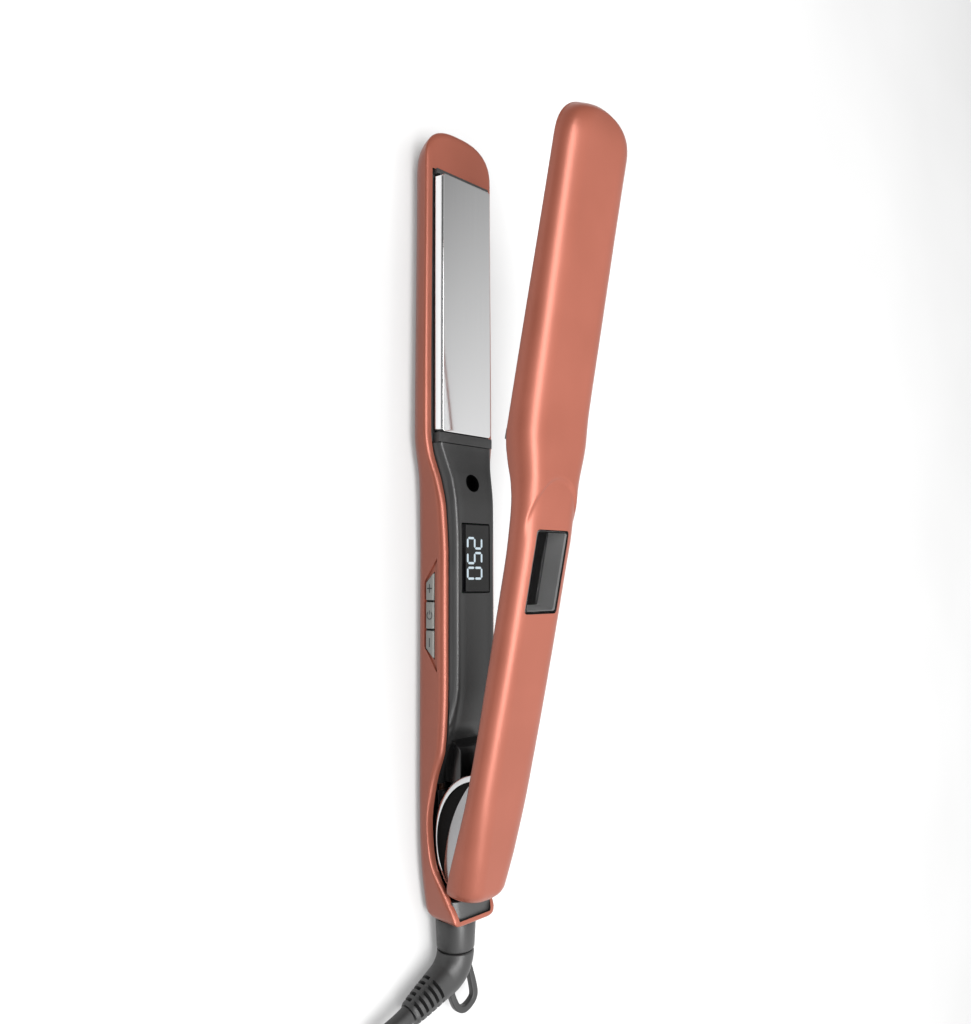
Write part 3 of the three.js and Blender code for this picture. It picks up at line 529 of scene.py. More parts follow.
# ---- camera
def camera():
    """Looks from the key side at 45 degrees down, with the arms upright in the picture."""
    data = bpy.data.cameras.new("camera")
    data.lens = 29.91
    data.sensor_width = 36
    data.clip_start = 0.01
    eye = in_scene("camera", data)
    forward = Vector((0.079, -0.700, -0.710)).normalized()
    right = forward.cross(Vector((0.997, 0.053, 0.058))).normalized()
    up = right.cross(forward)
    turn = Matrix((right, up, -forward)).transposed()
    eye.matrix_world = Matrix.Translation((0.0860, 0.2044, 0.2298)) @ turn.to_4x4()
    bpy.context.scene.camera = eye


# ---- the cord
# The routes are points on the cord's centre line. It leaves the sleeve, runs to the hank on the
# floor, and ends at the plug on top of the hank.
LEAD_ROUTE = [
    (-54.35, 20.85, 7.3), (-55.5, 23.5, 7.25), (-56.7, 26.3, 7), (-58.4, 30.4, 6.5),
    (-61.2, 35.4, 5.9), (-65.2, 39.8, 5.3), (-70.2, 43.2, 4.8), (-76, 45.3, 4.5),
    (-82, 46, 4.3), (-107.4, 46, 4.3),
]
END_ROUTE = [
    (-135, 38.6, 22.6), (-143, 34.6, 22.9), (-150, 29.3, 24),
    (-156.5, 24.9, 25.6), (-161.5, 22.7, 26.9), (-165, 22.1, 27.4), (-167.6, 22, 27.5),
]
HANK_Y = 22
HANK_NEAR_X = -125  # middles of the two ends of the hank
HANK_FAR_X = -200
STRAIGHT_XS = (-145, -165, -185)
OUTER_TURN = 24  # radius of the outer and inner runs
INNER_TURN = 18
TURN_STEPS = 12
LAYER = 2 * CORD_RADIUS
FLOOR_RUN_Z = 4.3
PLUG_Z = 27.5
PIN_OFFSET = 9.5  # of each pin from the plug's middle


def near_end(start_y, end_y, height):
    """A half turn at the hinge end of the hank. height(t) gives the rise over the floor run."""
    middle = (start_y + end_y) / 2
    radius = (end_y - start_y) / 2
    points = []
    for k in range(TURN_STEPS + 1):
        t = k / TURN_STEPS
        angle = pi * t
        points.append((HANK_NEAR_X + radius * sin(angle), middle - radius * cos(angle),
                       FLOOR_RUN_Z + height(t)))
    return points


def far_end(radius, z):
    """A level half turn at the plug end of the hank."""
    angles = [pi * k / TURN_STEPS for k in range(TURN_STEPS + 1)]
    return [(HANK_FAR_X - radius * sin(a), HANK_Y + radius * cos(a), z) for a in angles]


def hank_route():
    """Six turns in three layers. Where a run climbs over its neighbours it rolls round them."""
    outer = (HANK_Y - OUTER_TURN, HANK_Y + OUTER_TURN)
    inner = (HANK_Y - INNER_TURN, HANK_Y + INNER_TURN)

    def rolled(ups, overs):
        return lambda t: LAYER * (ups * sin(pi * t / 2) + overs * cos(pi * t / 2))

    turns = [
        (OUTER_TURN, 0, outer[0], inner[1], lambda t: 0),
        (INNER_TURN, 0, inner[0], inner[1], rolled(1, 0)),
        (INNER_TURN, 1, inner[0], outer[1], rolled(1, 1)),
        (OUTER_TURN, 1, outer[0], outer[1], rolled(2, 1)),
        (OUTER_TURN, 2, outer[0], inner[1], rolled(2, 2)),
        (INNER_TURN, 2, inner[0], inner[1], rolled(3, 2)),
    ]
    points = []
    for radius, layer, start_y, end_y, height in turns:
        z = FLOOR_RUN_Z + LAYER * layer
        away = [(x, HANK_Y + radius, z) for x in STRAIGHT_XS]
        back = [(x, HANK_Y - radius, z) for x in reversed(STRAIGHT_XS)]
        points += away + far_end(radius, z) + back + near_end(start_y, end_y, height)
    return points


def tube(name, path, radius, sides, materials):
    """A round tube along a path, its section carried without twist."""
    rings = []
    across = Vector((0, 0, 1))
    for i, point in enumerate(path):
        ahead = path[min(i + 1, len(path) - 1)] - path[max(i - 1, 0)]
        heading = ahead.normalized()
        across = (across - heading * across.dot(heading)).normalized()
        other = heading.cross(across)
        rings.append([
            point + (across * cos(2 * pi * k / sides) + other * sin(2 * pi * k / sides)) * radius
            for k in range(sides)
        ])
    return object_of(name, *skin(rings), materials, 50)


def mains_cord():
    """The whole cord as one tube, which follows the sleeve where it leaves it."""
    path = smooth_path(LEAD_ROUTE + hank_route() + END_ROUTE, 2.4)
    cord = tube("mains_cord", path, CORD_RADIUS, 16, [JACKET])
    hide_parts("cord_lead", "cord_hank", "cord_end")
    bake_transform(cord)


def plug():
    """Flat two-pin plug: a waisted grip that swells to a shoulder behind the pins."""
    width = profile([(-203.7, 16.4), (-202.5, 17.4), (-192, 17.5), (-182, 9.5), (-175, 5.6),
                     (-168, 4.0)])
    half_height = profile([(-203.7, 6.0), (-202.5, 6.7), (-190, 6.7), (-181, 5.8), (-174, 4.6),
                           (-168, 3.7)])

    def section(x):
        w = width(x)
        h = half_height(x)
        return rounded_rect(HANK_Y - w, HANK_Y + w, h, min(w, h) * 0.72, 6, PLUG_Z)

    stations = spread(-203.7, -202.5, 5) + spread(-202, -168, 60)
    body = object_of("plug_grip", *skin(along_x(stations, section)), [RUBBER])
    return placed(body, "lower_arm", "soft_rubber", "plug_body")


def plug_pin(side, node):
    """A round pin with a bare end and an insulating sleeve."""
    centre = (0, HANK_Y + side * PIN_OFFSET, PLUG_Z)
    metal_end = [(-223, 0.05), (-223, 1.0), (-222.6, 1.55), (-221.9, 1.9), (-221, 1.95),
                 (-212.6, 1.95), (-212.4, 1.9)]
    sleeve = [(-212.6, 1.7), (-212.4, 1.98), (-204.2, 2.0), (-203.4, 2.0), (-203.4, 0.05)]
    pin = turned("pin_" + node, metal_end + [(-212.4, 0.05)], centre, "x", [NICKEL], 32)
    cover = turned("sleeve", [(-212.6, 0.05)] + sleeve, centre, "x", [RUBBER], 32)
    return placed(joined(pin, cover), "lower_arm", "brass", node)


def cord_tie():
    """Flat strap that holds the hank together."""
    def loop(half_width, low, high, radius):
        return rounded_rect(HANK_Y - half_width, HANK_Y + half_width, (high - low) / 2, radius, 5,
                            (high + low) / 2)

    outside = loop(28.1, 0.25, 20.35, 3.0)
    inside = loop(27.35, 1.0, 19.6, 2.4)
    stations = spread(-192, -185, 9)
    rings = along_x(stations, lambda x: outside) + along_x(stations[::-1], lambda x: inside)
    strap = object_of("cord_strap", *skin(rings, wrap=True), [RUBBER])
    return placed(strap, "lower_arm", "soft_rubber", "cord_tie")


# ---- form of the arms
arm_half_width = profile([
    (-28.5, 8.9), (-26, 9.5), (-20, 10.6), (-10, 11.9), (0, 12.5), (20, 12.8), (93, 12.8),
    (110, 13.3), (120, 13.9), (137, 16.4), (146, 16.4), (228, 16),
])
lip_width = profile([(-28.5, 2.2), (-15, 2.3), (0, 2.5), (230, 2.5)])
lower_rim = profile([
    (-28.5, 16.6), (-26, 16.2), (-20, 11.9), (-7, 7.1), (4, 6.5), (16, 7.9), (21, 9), (29, 11.3),
    (39, 12.1), (52, 12.5), (93, 12.5), (110, 11.9), (120, 10.6), (130, 8.9), (138, 8.6), (247, 8.8),
])
lower_lip_rise = profile([
    (-28.5, 0.5), (-20, 2), (-8, 0.6), (4, 0.3), (16, 1), (30, 2.2), (45, 2.4), (110, 2.4),
    (130, 1.4), (247, 1.2),
])
upper_rim = profile([
    (-19.5, 18.6), (-16, 18.8), (0, 21.2), (20, 23.4), (45, 23.9), (95, 23.9), (108, 23.6),
    (114, 23.1), (120, 21.8), (126, 20), (132, 19), (138, 18.7), (240, 18.7),
])
upper_lip_drop = profile([(-19.5, 1), (0, 1.4), (30, 2), (110, 2), (130, 1.4), (240, 1.2)])
upper_top = profile([
    (-19.5, 28.3), (-3, 28.9), (12, 29.2), (80, 30.1), (112, 30.1), (129, 28.7), (148, 27.1),
    (170, 26.7), (234, 25.8),
])
lower_corner = profile([(93, 4.9), (137, 6.6), (240, 7)])
upper_corner = profile([(-20, 8.4), (20, 8), (60, 7), (93, 6.8), (137, 8.2), (240, 8.6)])


def tip_taper(x, tip):
    """Share of its full width that an arm has at x, near its rounded tip."""
    t = (x - (tip - TIP_LENGTH)) / TIP_LENGTH
    return 1 if t <= 0 else (1 - min(t, 1) ** TIP_POWER) ** (1 / TIP_POWER)


def past(x, start, run, power):
    """0 up to start, then a curve that reaches 1 at start + run. Run may be towards -X."""
    return max((x - start) / run, 0) ** power


def lower_half(x):
    return arm_half_width(x) * tip_taper(x, LOWER_TIP_X)


def upper_half(x):
    narrowing = 0.26 * past(x, UPPER_TAIL_X + 4, -4, 2.4)
    return arm_half_width(x) * tip_taper(x, UPPER_TIP_X) * (1 - narrowing)


def lower_floor(x):
    """Height of the lower arm's back, which turns up at both ends."""
    return max(5 * past(x, LOWER_TIP_X - 20, 20, 2.6), 1.6 * past(x, TAIL_X + 4, -4, 2))


def upper_roof(x):
    """Height of the upper arm's back, which turns down at both ends."""
    at_tip = 3.4 * past(x, UPPER_TIP_X - 14, 14, 2.6)
    at_tail = 3.2 * past(x, UPPER_TAIL_X + 5, -5, 2.2)
    return upper_top(x) - at_tip - at_tail


def tip_stations(tip, count=44):
    """Closer and closer together towards the end of the rounded tip."""
    angles = [radians(a) for a in spread(3, 90, count)]
    return [tip - TIP_LENGTH * (1 - sin(a) ** (2 / TIP_POWER)) for a in angles]


HOLLOW_POINTS = 17  # of each ring of an arm that lie in its hollow
SEAM = 0.005  # between the last solid ring and the first hollow one
EDGE_ROUND = 2.6  # width of the rounding round the tip's outline


class Arm:
    """The outer form of one arm and the hollow inside it. Up is 1 for the lower arm, whose
    hollow faces up, and -1 for the upper arm."""

    def __init__(self, half, rim, lip_rise, back, corner, wall, tip, tail, hollow_start, up):
        self.half = half
        self.rim = rim
        self.lip_rise = lip_rise
        self.back = back
        self.corner = corner
        self.wall = wall
        self.tip = tip
        self.tail = tail
        self.hollow_start = hollow_start
        self.up = up
        edge = [(x, half(x)) for x in tip_stations(tip, 900)]
        edge += [(x, half(x)) for x in spread(tip - 22, tip - TIP_LENGTH, 200)]
        self.edge = np.array(edge + [(x, -y) for x, y in edge])

    def from_edge(self, x, y):
        """Distance in plan from the rounded outline of the tip."""
        return float(np.min(np.hypot(self.edge[:, 0] - x, self.edge[:, 1] - y)))

    def in_tip(self, x):
        return x > self.tip - 19

    def end_inset(self, x, radius=1.1):
        """How far the skin draws in at the tail, to round the edge of its end wall."""
        t = (self.tail + radius - x) / radius
        return 0 if t <= 0 else radius * (1 - (1 - min(t, 1) ** 2) ** 0.5)

    def rim_height(self, x):
        return self.rim(x) - self.up * self.end_inset(x)

    def lip_height(self, x, y, share):
        """Height of the rolled lip, from share 0 at its foot to 1 on its crest."""
        if self.in_tip(x):
            inward = min(self.from_edge(x, y) / lip_width(x), 1)
            share = (1 - (1 - inward) ** 2) ** 0.5
        return self.rim_height(x) + self.up * self.lip_rise(x) * share

    def back_height(self, x, y, z):
        """Height of a point z of the back once the edge round the tip is rounded off."""
        if not self.in_tip(x):
            return z
        inward = min(self.from_edge(x, y) / EDGE_ROUND, 1)
        weight = smoothstep(self.tip - 16, self.tip - 7, x)
        lift = 2.2 * (1 - (1 - (1 - inward) ** 2) ** 0.5) * weight
        return z + self.up * min(lift, 0.85 * abs(self.rim_height(x) - z))

    def ring(self, x, hollow):
        """One cross section: the outer skin, and then the hollow or a lid where there is none."""
        half = max(self.half(x) - self.end_inset(x, 2.4), 0.02)
        back = self.back(x) + self.up * self.end_inset(x)
        reach = min(lip_width(x), half * 0.5)
        side = self.lip(x, half, reach)
        side += self.side_and_back(x, half, back, side[-1][1])
        middle = [(0, self.back_height(x, 0, back))]
        outer = side + middle + [(-y, z) for y, z in reversed(side)]
        return [(x, y, z) for y, z in outer + self.inner(x, half, reach, back, hollow)]

    def lip(self, x, half, reach):
        points = []
        for k in range(10):
            angle = radians(90 - 10 * k)
            y = half - reach + reach * cos(angle)
            points.append((y, self.lip_height(x, y, sin(angle))))
        return points

    def side_and_back(self, x, half, back, lip_foot):
        """From the foot of the lip down the side and round the corner to the middle."""
        across = min(self.corner(x), half * 0.92)
        down = min(self.corner(x), abs(back - self.rim_height(x)) - 0.4)
        corner_z = back + self.up * down
        wall_end = self.back_height(x, half, corner_z)
        points = [(half, lip_foot + (wall_end - lip_foot) * t) for t in (0.25, 0.5, 0.75)]
        for k in range(19):
            angle = radians(90 * k / 18)
            y = half - across + across * cos(angle)
            z = corner_z - self.up * down * sin(angle)
            points.append((y, self.back_height(x, y, z)))
        flat = spread(half - across, 0, 24)[1:-1]
        return points + [(y, self.back_height(x, y, back)) for y in flat]

    def inner(self, x, half, reach, back, hollow):
        """The rest of a ring: across the hollow, or straight over where the arm is solid."""
        open_half = half - reach
        if not hollow:
            return [(y, self.lip_height(x, y, 1)) for y in spread(-open_half, open_half, 19)[1:-1]]
        lip_z = self.lip_height(x, open_half, 1)
        wall_z = back + self.up * self.wall
        corner = min(3, open_half * 0.5)
        foot_z = wall_z + self.up * corner
        side = [(open_half, lip_z + (foot_z - lip_z) * t) for t in (0.33, 0.67)]
        for k in range(6):
            angle = radians(90 * k / 5)
            side.append((open_half - corner + corner * cos(angle),
                         foot_z - self.up * corner * sin(angle)))
        return [(-y, z) for y, z in side] + [(0, wall_z)] + side[::-1]

    def shell(self, name, stations):
        start = self.hollow_start
        before = [x for x in stations if x < start - 0.02]
        within = [x for x in stations if start + 0.02 < x < CAVITY_TIP_X - 0.02]
        after = [x for x in stations if x > CAVITY_TIP_X + 0.02]
        rings = [self.ring(x, False) for x in before + [start - SEAM]]
        rings += [self.ring(x, True) for x in [start] + within + [CAVITY_TIP_X]]
        rings += [self.ring(x, False) for x in [CAVITY_TIP_X + SEAM] + after]
        shell = object_of(name, *skin(rings), [COPPER, INSIDE_AND_SHADE], 42)
        self.paint_inside(shell.data, rings, len(before), len(rings) - len(after) - 2)
        return shell

    def paint_inside(self, mesh, rings, first, last):
        """The hollow is near-black bare plastic, which also paints the shade in the gap round the
        cover. Its faces follow those of the outer skin in each row.
        """
        count = len(rings[0])
        skin_count = count - HOLLOW_POINTS
        for row in range(first, last + 1):
            for j in range(skin_count - 1, count):
                mesh.polygons[row * count + j].material_index = 1


LOWER = Arm(lower_half, lower_rim, lower_lip_rise, lower_floor, lower_corner, 2.0,
            LOWER_TIP_X, TAIL_X, TAIL_X + 1.9, 1)
UPPER = Arm(upper_half, upper_rim, upper_lip_drop, upper_roof, upper_corner, 1.6,
            UPPER_TIP_X, UPPER_TAIL_X, -17.6, -1)


def arm_stations(tail, tip):
    """Where the cross sections of an arm stand: closest at its ends and round the waist."""
    tail_end = [tail + d for d in (0, 0.06, 0.2, 0.4, 0.65, 0.9, 1.1)]
    return (tail_end + spread(tail + 1.5, 60, 60) + spread(61.5, 98, 26)
            + spread(98.5, 150, 100) + spread(151, tip - TIP_LENGTH, 50) + tip_stations(tip))


def lower_shell():
    """The housing with the sunk panel and the slot for the keys, and the cord's hole."""
    shell = LOWER.shell("lower_housing", arm_stations(TAIL_X, LOWER_TIP_X))
    recess = prism("recess", [(63.2, 5.3), (85.2, 5.3), (93.4, 11.9), (54.6, 11.9)], "y",
                   HANDLE_SIDE - 0.5, HANDLE_SIDE + 2, [COPPER])
    slot = prism("slot", [(62.3, 5.9), (85.3, 5.9), (88.8, 10.25), (58.8, 10.25)], "y",
                 HANDLE_SIDE - 4, HANDLE_SIDE + 1, [INSIDE_AND_SHADE])
    hole = turned("hole", [(-31, 4.3), (-20, 4.3)], (0, 0, SWIVEL_Z), "x", [INSIDE_AND_SHADE], 48)
    for cutter in (recess, slot, hole):
        cut(shell, cutter)
    return placed(shell, "lower_arm", "copper_paint", "lower_shell")


def thumb_rest(shell):
    """A shallow dished rest on the top of the upper arm, ending in a soft arch."""
    for vertex in shell.data.vertices:
        x, y, z = vertex.co / MM
        if not 98 < x < 126 or z < upper_top(x) - 4:
            continue
        reach = hypot((x - 106) / 17.8, (y + 0.5) / 12.0)
        inside = 1 - smoothstep(0.93, 1.03, reach)
        fade = smoothstep(102, 116, x)
        vertex.co.z -= 0.8 * inside * fade * MM


def upper_shell():
    shell = UPPER.shell("upper_housing", arm_stations(UPPER_TAIL_X, UPPER_TIP_X))
    thumb_rest(shell)
    hole = prism("hole", rounded_rect(79.9, 107.1, 7.6, 1.2), "z", 20, 40, [INSIDE_AND_SHADE])
    cut(shell, hole)
    return placed(swung_open(shell), "upper_arm", "copper_paint", "upper_shell")


# ---- inner covers
lower_crown = profile([
    (30.5, 12.2), (38, 15.2), (50, 17.4), (60, 17.6), (100, 17.6), (112, 17.2), (119.5, 16.1),
    (127, 14.2), (134, 13),
])
upper_crown = profile([
    (30.5, 21.4), (38, 20.6), (50, 19.8), (60, 19.6), (100, 19.6), (112, 19.2), (119.5, 18),
    (127, 16), (134, 14.6),
])


# How far in from the cover's edge its cross section has points.
RIDGE_STEPS = [0, 0.08, 0.25, 0.5, 0.9, 1.15, 1.4, 1.8, 2.2, 2.55, 2.9, 3.3, 3.8, 4.3, 4.8, 5.3]


def cover_half(x, arm_half):
    """Half the width between an arm's lips, less the gap round the cover."""
    return arm_half(x) - lip_width(x) - 0.4


def cover_rings(arm_half, edge_at, crown_at, up):
    """A cover between the rims: a soft ridge by each rim, a slight fall and a flat middle."""
    def section(x):
        half = cover_half(x, arm_half)
        edge = edge_at(x)
        crown = crown_at(x)
        shoulder = edge + 0.68 * (crown - edge)
        peak = crown + up * 0.2
        inward = profile([(0, edge), (0.3, edge + 0.35 * (peak - edge)), (1.9, peak - up * 0.04),
                          (2.4, peak), (4.2, crown + up * 0.04), (5.3, crown)])
        leg = up * min(up * edge - 2.2, up * crown - 2.4)
        middle = [(y, crown) for y in spread(0, half - RIDGE_STEPS[-1], 8)[:-1]]
        top = [(half - d, inward(d)) for d in reversed(RIDGE_STEPS)]
        under = [(half, leg), (half - 1.6, leg), (half - 1.6, shoulder - up * 1.7),
                 (half - 3.4, shoulder - up * 1.9), (half - 5.0, crown - up * 1.6),
                 (0, crown - up * 1.6)]
        return mirrored(middle + top + under)

    return along_x(spread(30.5, 133, 110), section)


def lower_inner_cover():
    """The charcoal cover with the display's opening, the peg's hole and the hinge block."""
    rings = cover_rings(lower_half, lambda x: lower_rim(x) + lower_lip_rise(x) + 0.5,
                        lower_crown, 1)
    cover = object_of("lower_cover", *skin(rings), [CHARCOAL, BLACK_AND_SHADE], 40)
    # The walls of the openings take the near-black material of the cutters, as painted shade in the
    # holes.
    cut(cover, prism("hole", rounded_rect(81.3, 105.4, 6.7, 0.5), "z", 8, 20, [BLACK_AND_SHADE]))
    cut(cover, turned("hole", [(8, 3.1), (20, 3.1)], (119.5, 0, 0), "z", [BLACK_AND_SHADE], 48))
    block = prism("hinge_block", [
        (17.5, 9), (31.5, 9), (31.5, 13), (29.5, 16.2), (27.5, 16.9), (19.5, 16.9), (17.5, 15.4),
    ], "y", -6.5, 6.5, [HINGE_BLACK])
    joined(cover, bevelled(block, 0.35, 4), hinge_apron())
    shade(cover.data, 40)
    return placed(cover, "lower_arm", "charcoal_plastic", "lower_inner_cover")


def hinge_apron():
    """The end of the lower cover, which dips beside the hinge block and hides the wires."""
    top = profile([(16.8, 8.3), (22, 9.0), (27, 10.6), (31.5, 12.4)])

    def section(x):
        half = cover_half(x, lower_half)
        edge = min(top(x), lower_rim(x) + 0.5)
        level = top(x)
        upper = [(half * t, level - (level - edge + 0.9) * t ** 4) for t in spread(0, 1, 14)]
        return mirrored(upper + [(half, edge - 2.1), (0, level - 1.4)])

    return object_of("apron", *skin(along_x(spread(16.8, 31.5, 24), section)), [HINGE_BLACK], 50)


def upper_inner_cover():
    """The charcoal cover with the display's sight hole and the locating peg."""
    rings = cover_rings(upper_half, lambda x: upper_rim(x) - upper_lip_drop(x) - 0.5,
                        upper_crown, -1)
    cover = object_of("upper_cover", *skin(rings), [CHARCOAL, BLACK_AND_SHADE], 40)
    # The walls of the sight hole take the near-black material of the cutter, as painted shade in the
    # hole.
    cut(cover, prism("hole", rounded_rect(82, 105, 6, 0.5), "z", 15, 26, [BLACK_AND_SHADE]))
    peg = turned("peg", [(14.6, 0.05), (14.6, 1.9), (14.8, 2.25), (15.2, 2.5), (19, 2.5),
                         (19, 0.05)], (119.5, 0, 0), "z", [CHARCOAL], 40)
    joined(cover, peg)
    shade(cover.data, 40)
    return placed(swung_open(cover), "upper_arm", "charcoal_plastic", "upper_inner_cover")


def tail_insert():
    """Block that closes the tail behind the upper arm, with a slanted facet by the key side."""
    def section(x):
        half = lower_half(x) - lip_width(x) + 0.4
        facet = half - 2.2
        return [(-half, 13.1), (-half, 16.0), (facet, 16.0), (half, 14.9), (half, 13.1)]

    block = object_of("tail_block", *skin(along_x(spread(-27.2, -20.5, 8), section)), [CHARCOAL])
    return placed(bevelled(block, 0.3, 3), "lower_arm", "charcoal_plastic", "tail_insert")


# ---- display and window
LIT_BARS = {"2": "abged", "5": "afgcd", "0": "abcdef"}  # of the seven that make a figure
FIGURES = [("2", 100.2, 96.7), ("5", 95.1, 91.6), ("0", 90.0, 86.3)]  # with their left and right
FIGURE_FOOT_Y = 4.0
FIGURE_TOP_Y = -2.6
BAR_WIDTH = 0.78
BAR_GAP = 0.16


def bar(start, end):
    """Outline of one bar of a figure: a thin strip with pointed ends."""
    along = (end - start).normalized()
    start = start + along * BAR_GAP
    end = end - along * BAR_GAP
    side = Vector((-along.y, along.x)) * BAR_WIDTH / 2
    inset = along * BAR_WIDTH / 2
    return [start, start + inset + side, end - inset + side, end, end - inset - side,
            start + inset - side]


def figure_bars(figure, left_x, right_x):
    """Outlines of a figure's bars. It is read towards -X, with its top towards -Y."""
    levels = (FIGURE_TOP_Y, (FIGURE_FOOT_Y + FIGURE_TOP_Y) / 2, FIGURE_FOOT_Y)
    left = [Vector((left_x, y)) for y in levels]
    right = [Vector((right_x, y)) for y in levels]
    ends = {
        "a": (left[0], right[0]), "b": (right[0], right[1]), "c": (right[1], right[2]),
        "d": (left[2], right[2]), "e": (left[1], left[2]), "f": (left[0], left[1]),
        "g": (left[1], right[1]),
    }
    return [bar(*ends[name]) for name in LIT_BARS[figure]]


def lcd_glass():
    """The lit face, which runs out to the window's edge on three sides."""
    outline = [(82.0, -6.1), (104.7, -6.1), (104.7, 4.9), (82.0, 4.9)]
    return prism("lcd", outline, "z", 17.77, 17.815, [LCD])


def display():
    """The glossy window with the face of the LCD and its lit figures."""
    window = refined("display_window", GLOSS, 0.22, 3)
    bars = []
    for figure, left_x, right_x in FIGURES:
        for outline in figure_bars(figure, left_x, right_x):
            bars.append(prism("bar", outline, "z", 17.79, 17.83, [GLOW]))
    joined(window, lcd_glass(), *bars)
    return placed(window, "lower_arm", "gloss_window", "display_window")


def upper_window():
    """Smoked lens over a tray whose far wall catches the light."""
    x0, x1 = WINDOW_X
    lens = prism("lens", rounded_rect(x0, x1, WINDOW_HALF, 1.0), "z", 29.0, 29.93, [LENS])
    lens = bevelled(lens, 0.2, 3)
    tray_floor = prism("tray", rounded_rect(x0 + 0.6, x1 - 0.6, 6.7, 0.8), "z", 21.4, 21.8,
                       [BLACK_AND_SHADE])
    outer = rounded_rect(x0 + 0.2, x1 - 0.2, WINDOW_HALF - 0.1, 1.0)
    inner = rounded_rect(x0 + 0.6, x1 - 0.6, WINDOW_HALF - 0.5, 0.8)
    levels = ((outer, 21.4), (outer, 29.8), (inner, 29.8), (inner, 21.4))
    rings = [[(x, y, z) for x, y in outline] for outline, z in levels]
    wall = object_of("wall", *skin(rings, wrap=True), [LINER, BLACK_AND_SHADE])
    for face in wall.data.polygons:
        face.material_index = 1 if face.center.z > 29.7 * MM else 0
    joined(lens, tray_floor, wall)
    return placed(swung_open(lens), "upper_arm", "gloss_window", "upper_window")


# ---- keys
KEY_MARK_Z = 8.175
KEY_FACE_Y = 12.9
KEY_MARK_X = {"plus": 82.975, "power": 73.8, "minus": 64.625}


def key_stroke(x, z, half_length, half_width):
    return [(x - half_length, z - half_width), (x + half_length, z - half_width),
            (x + half_length, z + half_width), (x - half_length, z + half_width)]


def key_marks(kind):
    """The raised mark on a key, drawn on its face."""
    x = KEY_MARK_X[kind]
    z = KEY_MARK_Z
    if kind == "power":
        outside = arc(x, z, 1.45, 1.45, 35, 325, 22)
        inside = arc(x, z, 1.1, 1.1, 325, 35, 22)
        outlines = [outside + inside, key_stroke(x + 1.0, z, 0.7, 0.18)]
    else:
        outlines = [key_stroke(x, z, 1.5, 0.22)]
    if kind == "plus":
        outlines.append(key_stroke(x, z, 0.22, 1.3))
    return [prism("mark", outline, "y", KEY_FACE_Y - 0.05, KEY_FACE_Y + 0.03, [KEY_MARK])
            for outline in outlines]


def key(kind):
    piece = refined("button_" + kind, KEY, 0.35, 3)
    joined(piece, *key_marks(kind))
    return placed(piece, "button_" + kind, "button_plastic", "button_" + kind)


# ---- hinge cheeks
CHEEK_CENTRE = (2.1, 0, 29.4)
LENS_CENTRE = (-3.3, 0, 59.3)
LENS_RADIUS = 47.2
LENS_RISE = 1.15
LENS_FOOT_Y = 8.4


def cheek_trim():
    """What a cheek is cut back by: the arm's roof, the tail, and the sides of the shells."""
    stations = spread(-16.6, 27, 30)
    halves = [min(lower_half(x), upper_half(x)) - lip_width(x) - 0.35 for x in stations]
    left = list(zip(stations, halves)) + [(27, 15), (-16.6, 15)]
    right = [(x, -y) for x, y in left]
    roof = [(-60, -16), (60, -16), (60, 16), (-60, 16)]
    tail = [(-60, -16), (-16.6, -16), (-16.6, 16), (-60, 16)]
    sides = [prism("side", outline, "z", -5, 60, [GLOSS]) for outline in (tail, left, right)]
    return [prism("roof", roof, "z", 24.2, 120, [GLOSS])] + sides


def cheek_lens(side):
    """The domed face: a slice of a wide, shallow dome that ends inside the rim band."""
    shares = (0.9998, 0.999, 0.997, 0.993, 0.985, 0.97, 0.95, 0.92, 0.88, 0.83, 0.77, 0.7, 0.002)
    dome = [(side * LENS_FOOT_Y, 0.05), (side * LENS_FOOT_Y, LENS_RADIUS)]
    for share in shares:
        height = LENS_FOOT_Y + LENS_RISE * (1 - share ** 2) ** 0.5
        dome.append((side * height, LENS_RADIUS * share))
    lens = turned("dome", dome, LENS_CENTRE, "y", [SATIN_CHROME, BLACK_AND_SHADE], 360, 60)
    # The dome's steep edge and the walls of the groove cut into it are painted near black, as
    # painted shade round the lens.
    paint_round(lens, LENS_CENTRE, 0, 0.988 * LENS_RADIUS)
    groove = [(side * 7, 21.5), (side * 7, 110), (side * 12, 110), (side * 12, 21.5)]
    return cut(lens, turned("groove", groove, CHEEK_CENTRE, "y", [BLACK_AND_SHADE], 200, wrap=True))


def paint_round(piece, centre, low, high):
    """Gives the second material to faces nearer the axis than low or farther than high."""
    for face in piece.data.polygons:
        x, _, z = face.center / MM
        if not low <= hypot(x - centre[0], z - centre[2]) <= high:
            face.material_index = 1


def cheek(side, node):
    """Chrome half-moon: a bright rim band, a crescent groove painted near black as painted shade,
    and a domed lens.
    """
    rim = [(7.9, 0.05), (7.9, 23.2), (8.2, 23.65), (8.7, 23.68), (9.0, 23.45), (9.15, 23.0),
           (9.2, 22.5), (9.15, 22.0), (9.0, 21.7), (8.5, 21.6), (8.45, 21.4), (8.45, 0.05)]
    rim = [(side * along, radius) for along, radius in rim]
    disc = turned(node + "_detail", rim, CHEEK_CENTRE, "y", [CHROME, BLACK_AND_SHADE], 220)
    # The band's inner wall and back are painted near black, as painted shade in the groove.
    paint_round(disc, CHEEK_CENTRE, 21.7, 23.6)
    lens = cheek_lens(side)
    for part in (disc, lens):
        for cutter in cheek_trim():
            cut(part, cutter)
    joined(disc, lens)
    shade(disc.data, 40)
    return placed(swung_open(disc), "upper_arm", "chrome_trim", node)


# ---- cord end
SLEEVE_BEND = 9.2  # radius of the bend in its axis
SLEEVE_TURN = radians(66)
SLEEVE_X = -39.5
SLEEVE_SIDES = 144
SLEEVE_STEP = 0.22
ROW_TURN = radians(28)  # of the rows of slots about the axis
ROW_REACH = radians(37)  # to each side of a row's middle
FIRST_SLOT = 15.6
SLOT_PITCH = 2.2
SLOT_LENGTH = 1.0
SLOT_DEPTH = 1.6
sleeve_radius = profile([(0, 6.35), (6, 6.15), (13.3, 5.45), (26.2, 4.05), (26.9, 3.7)])


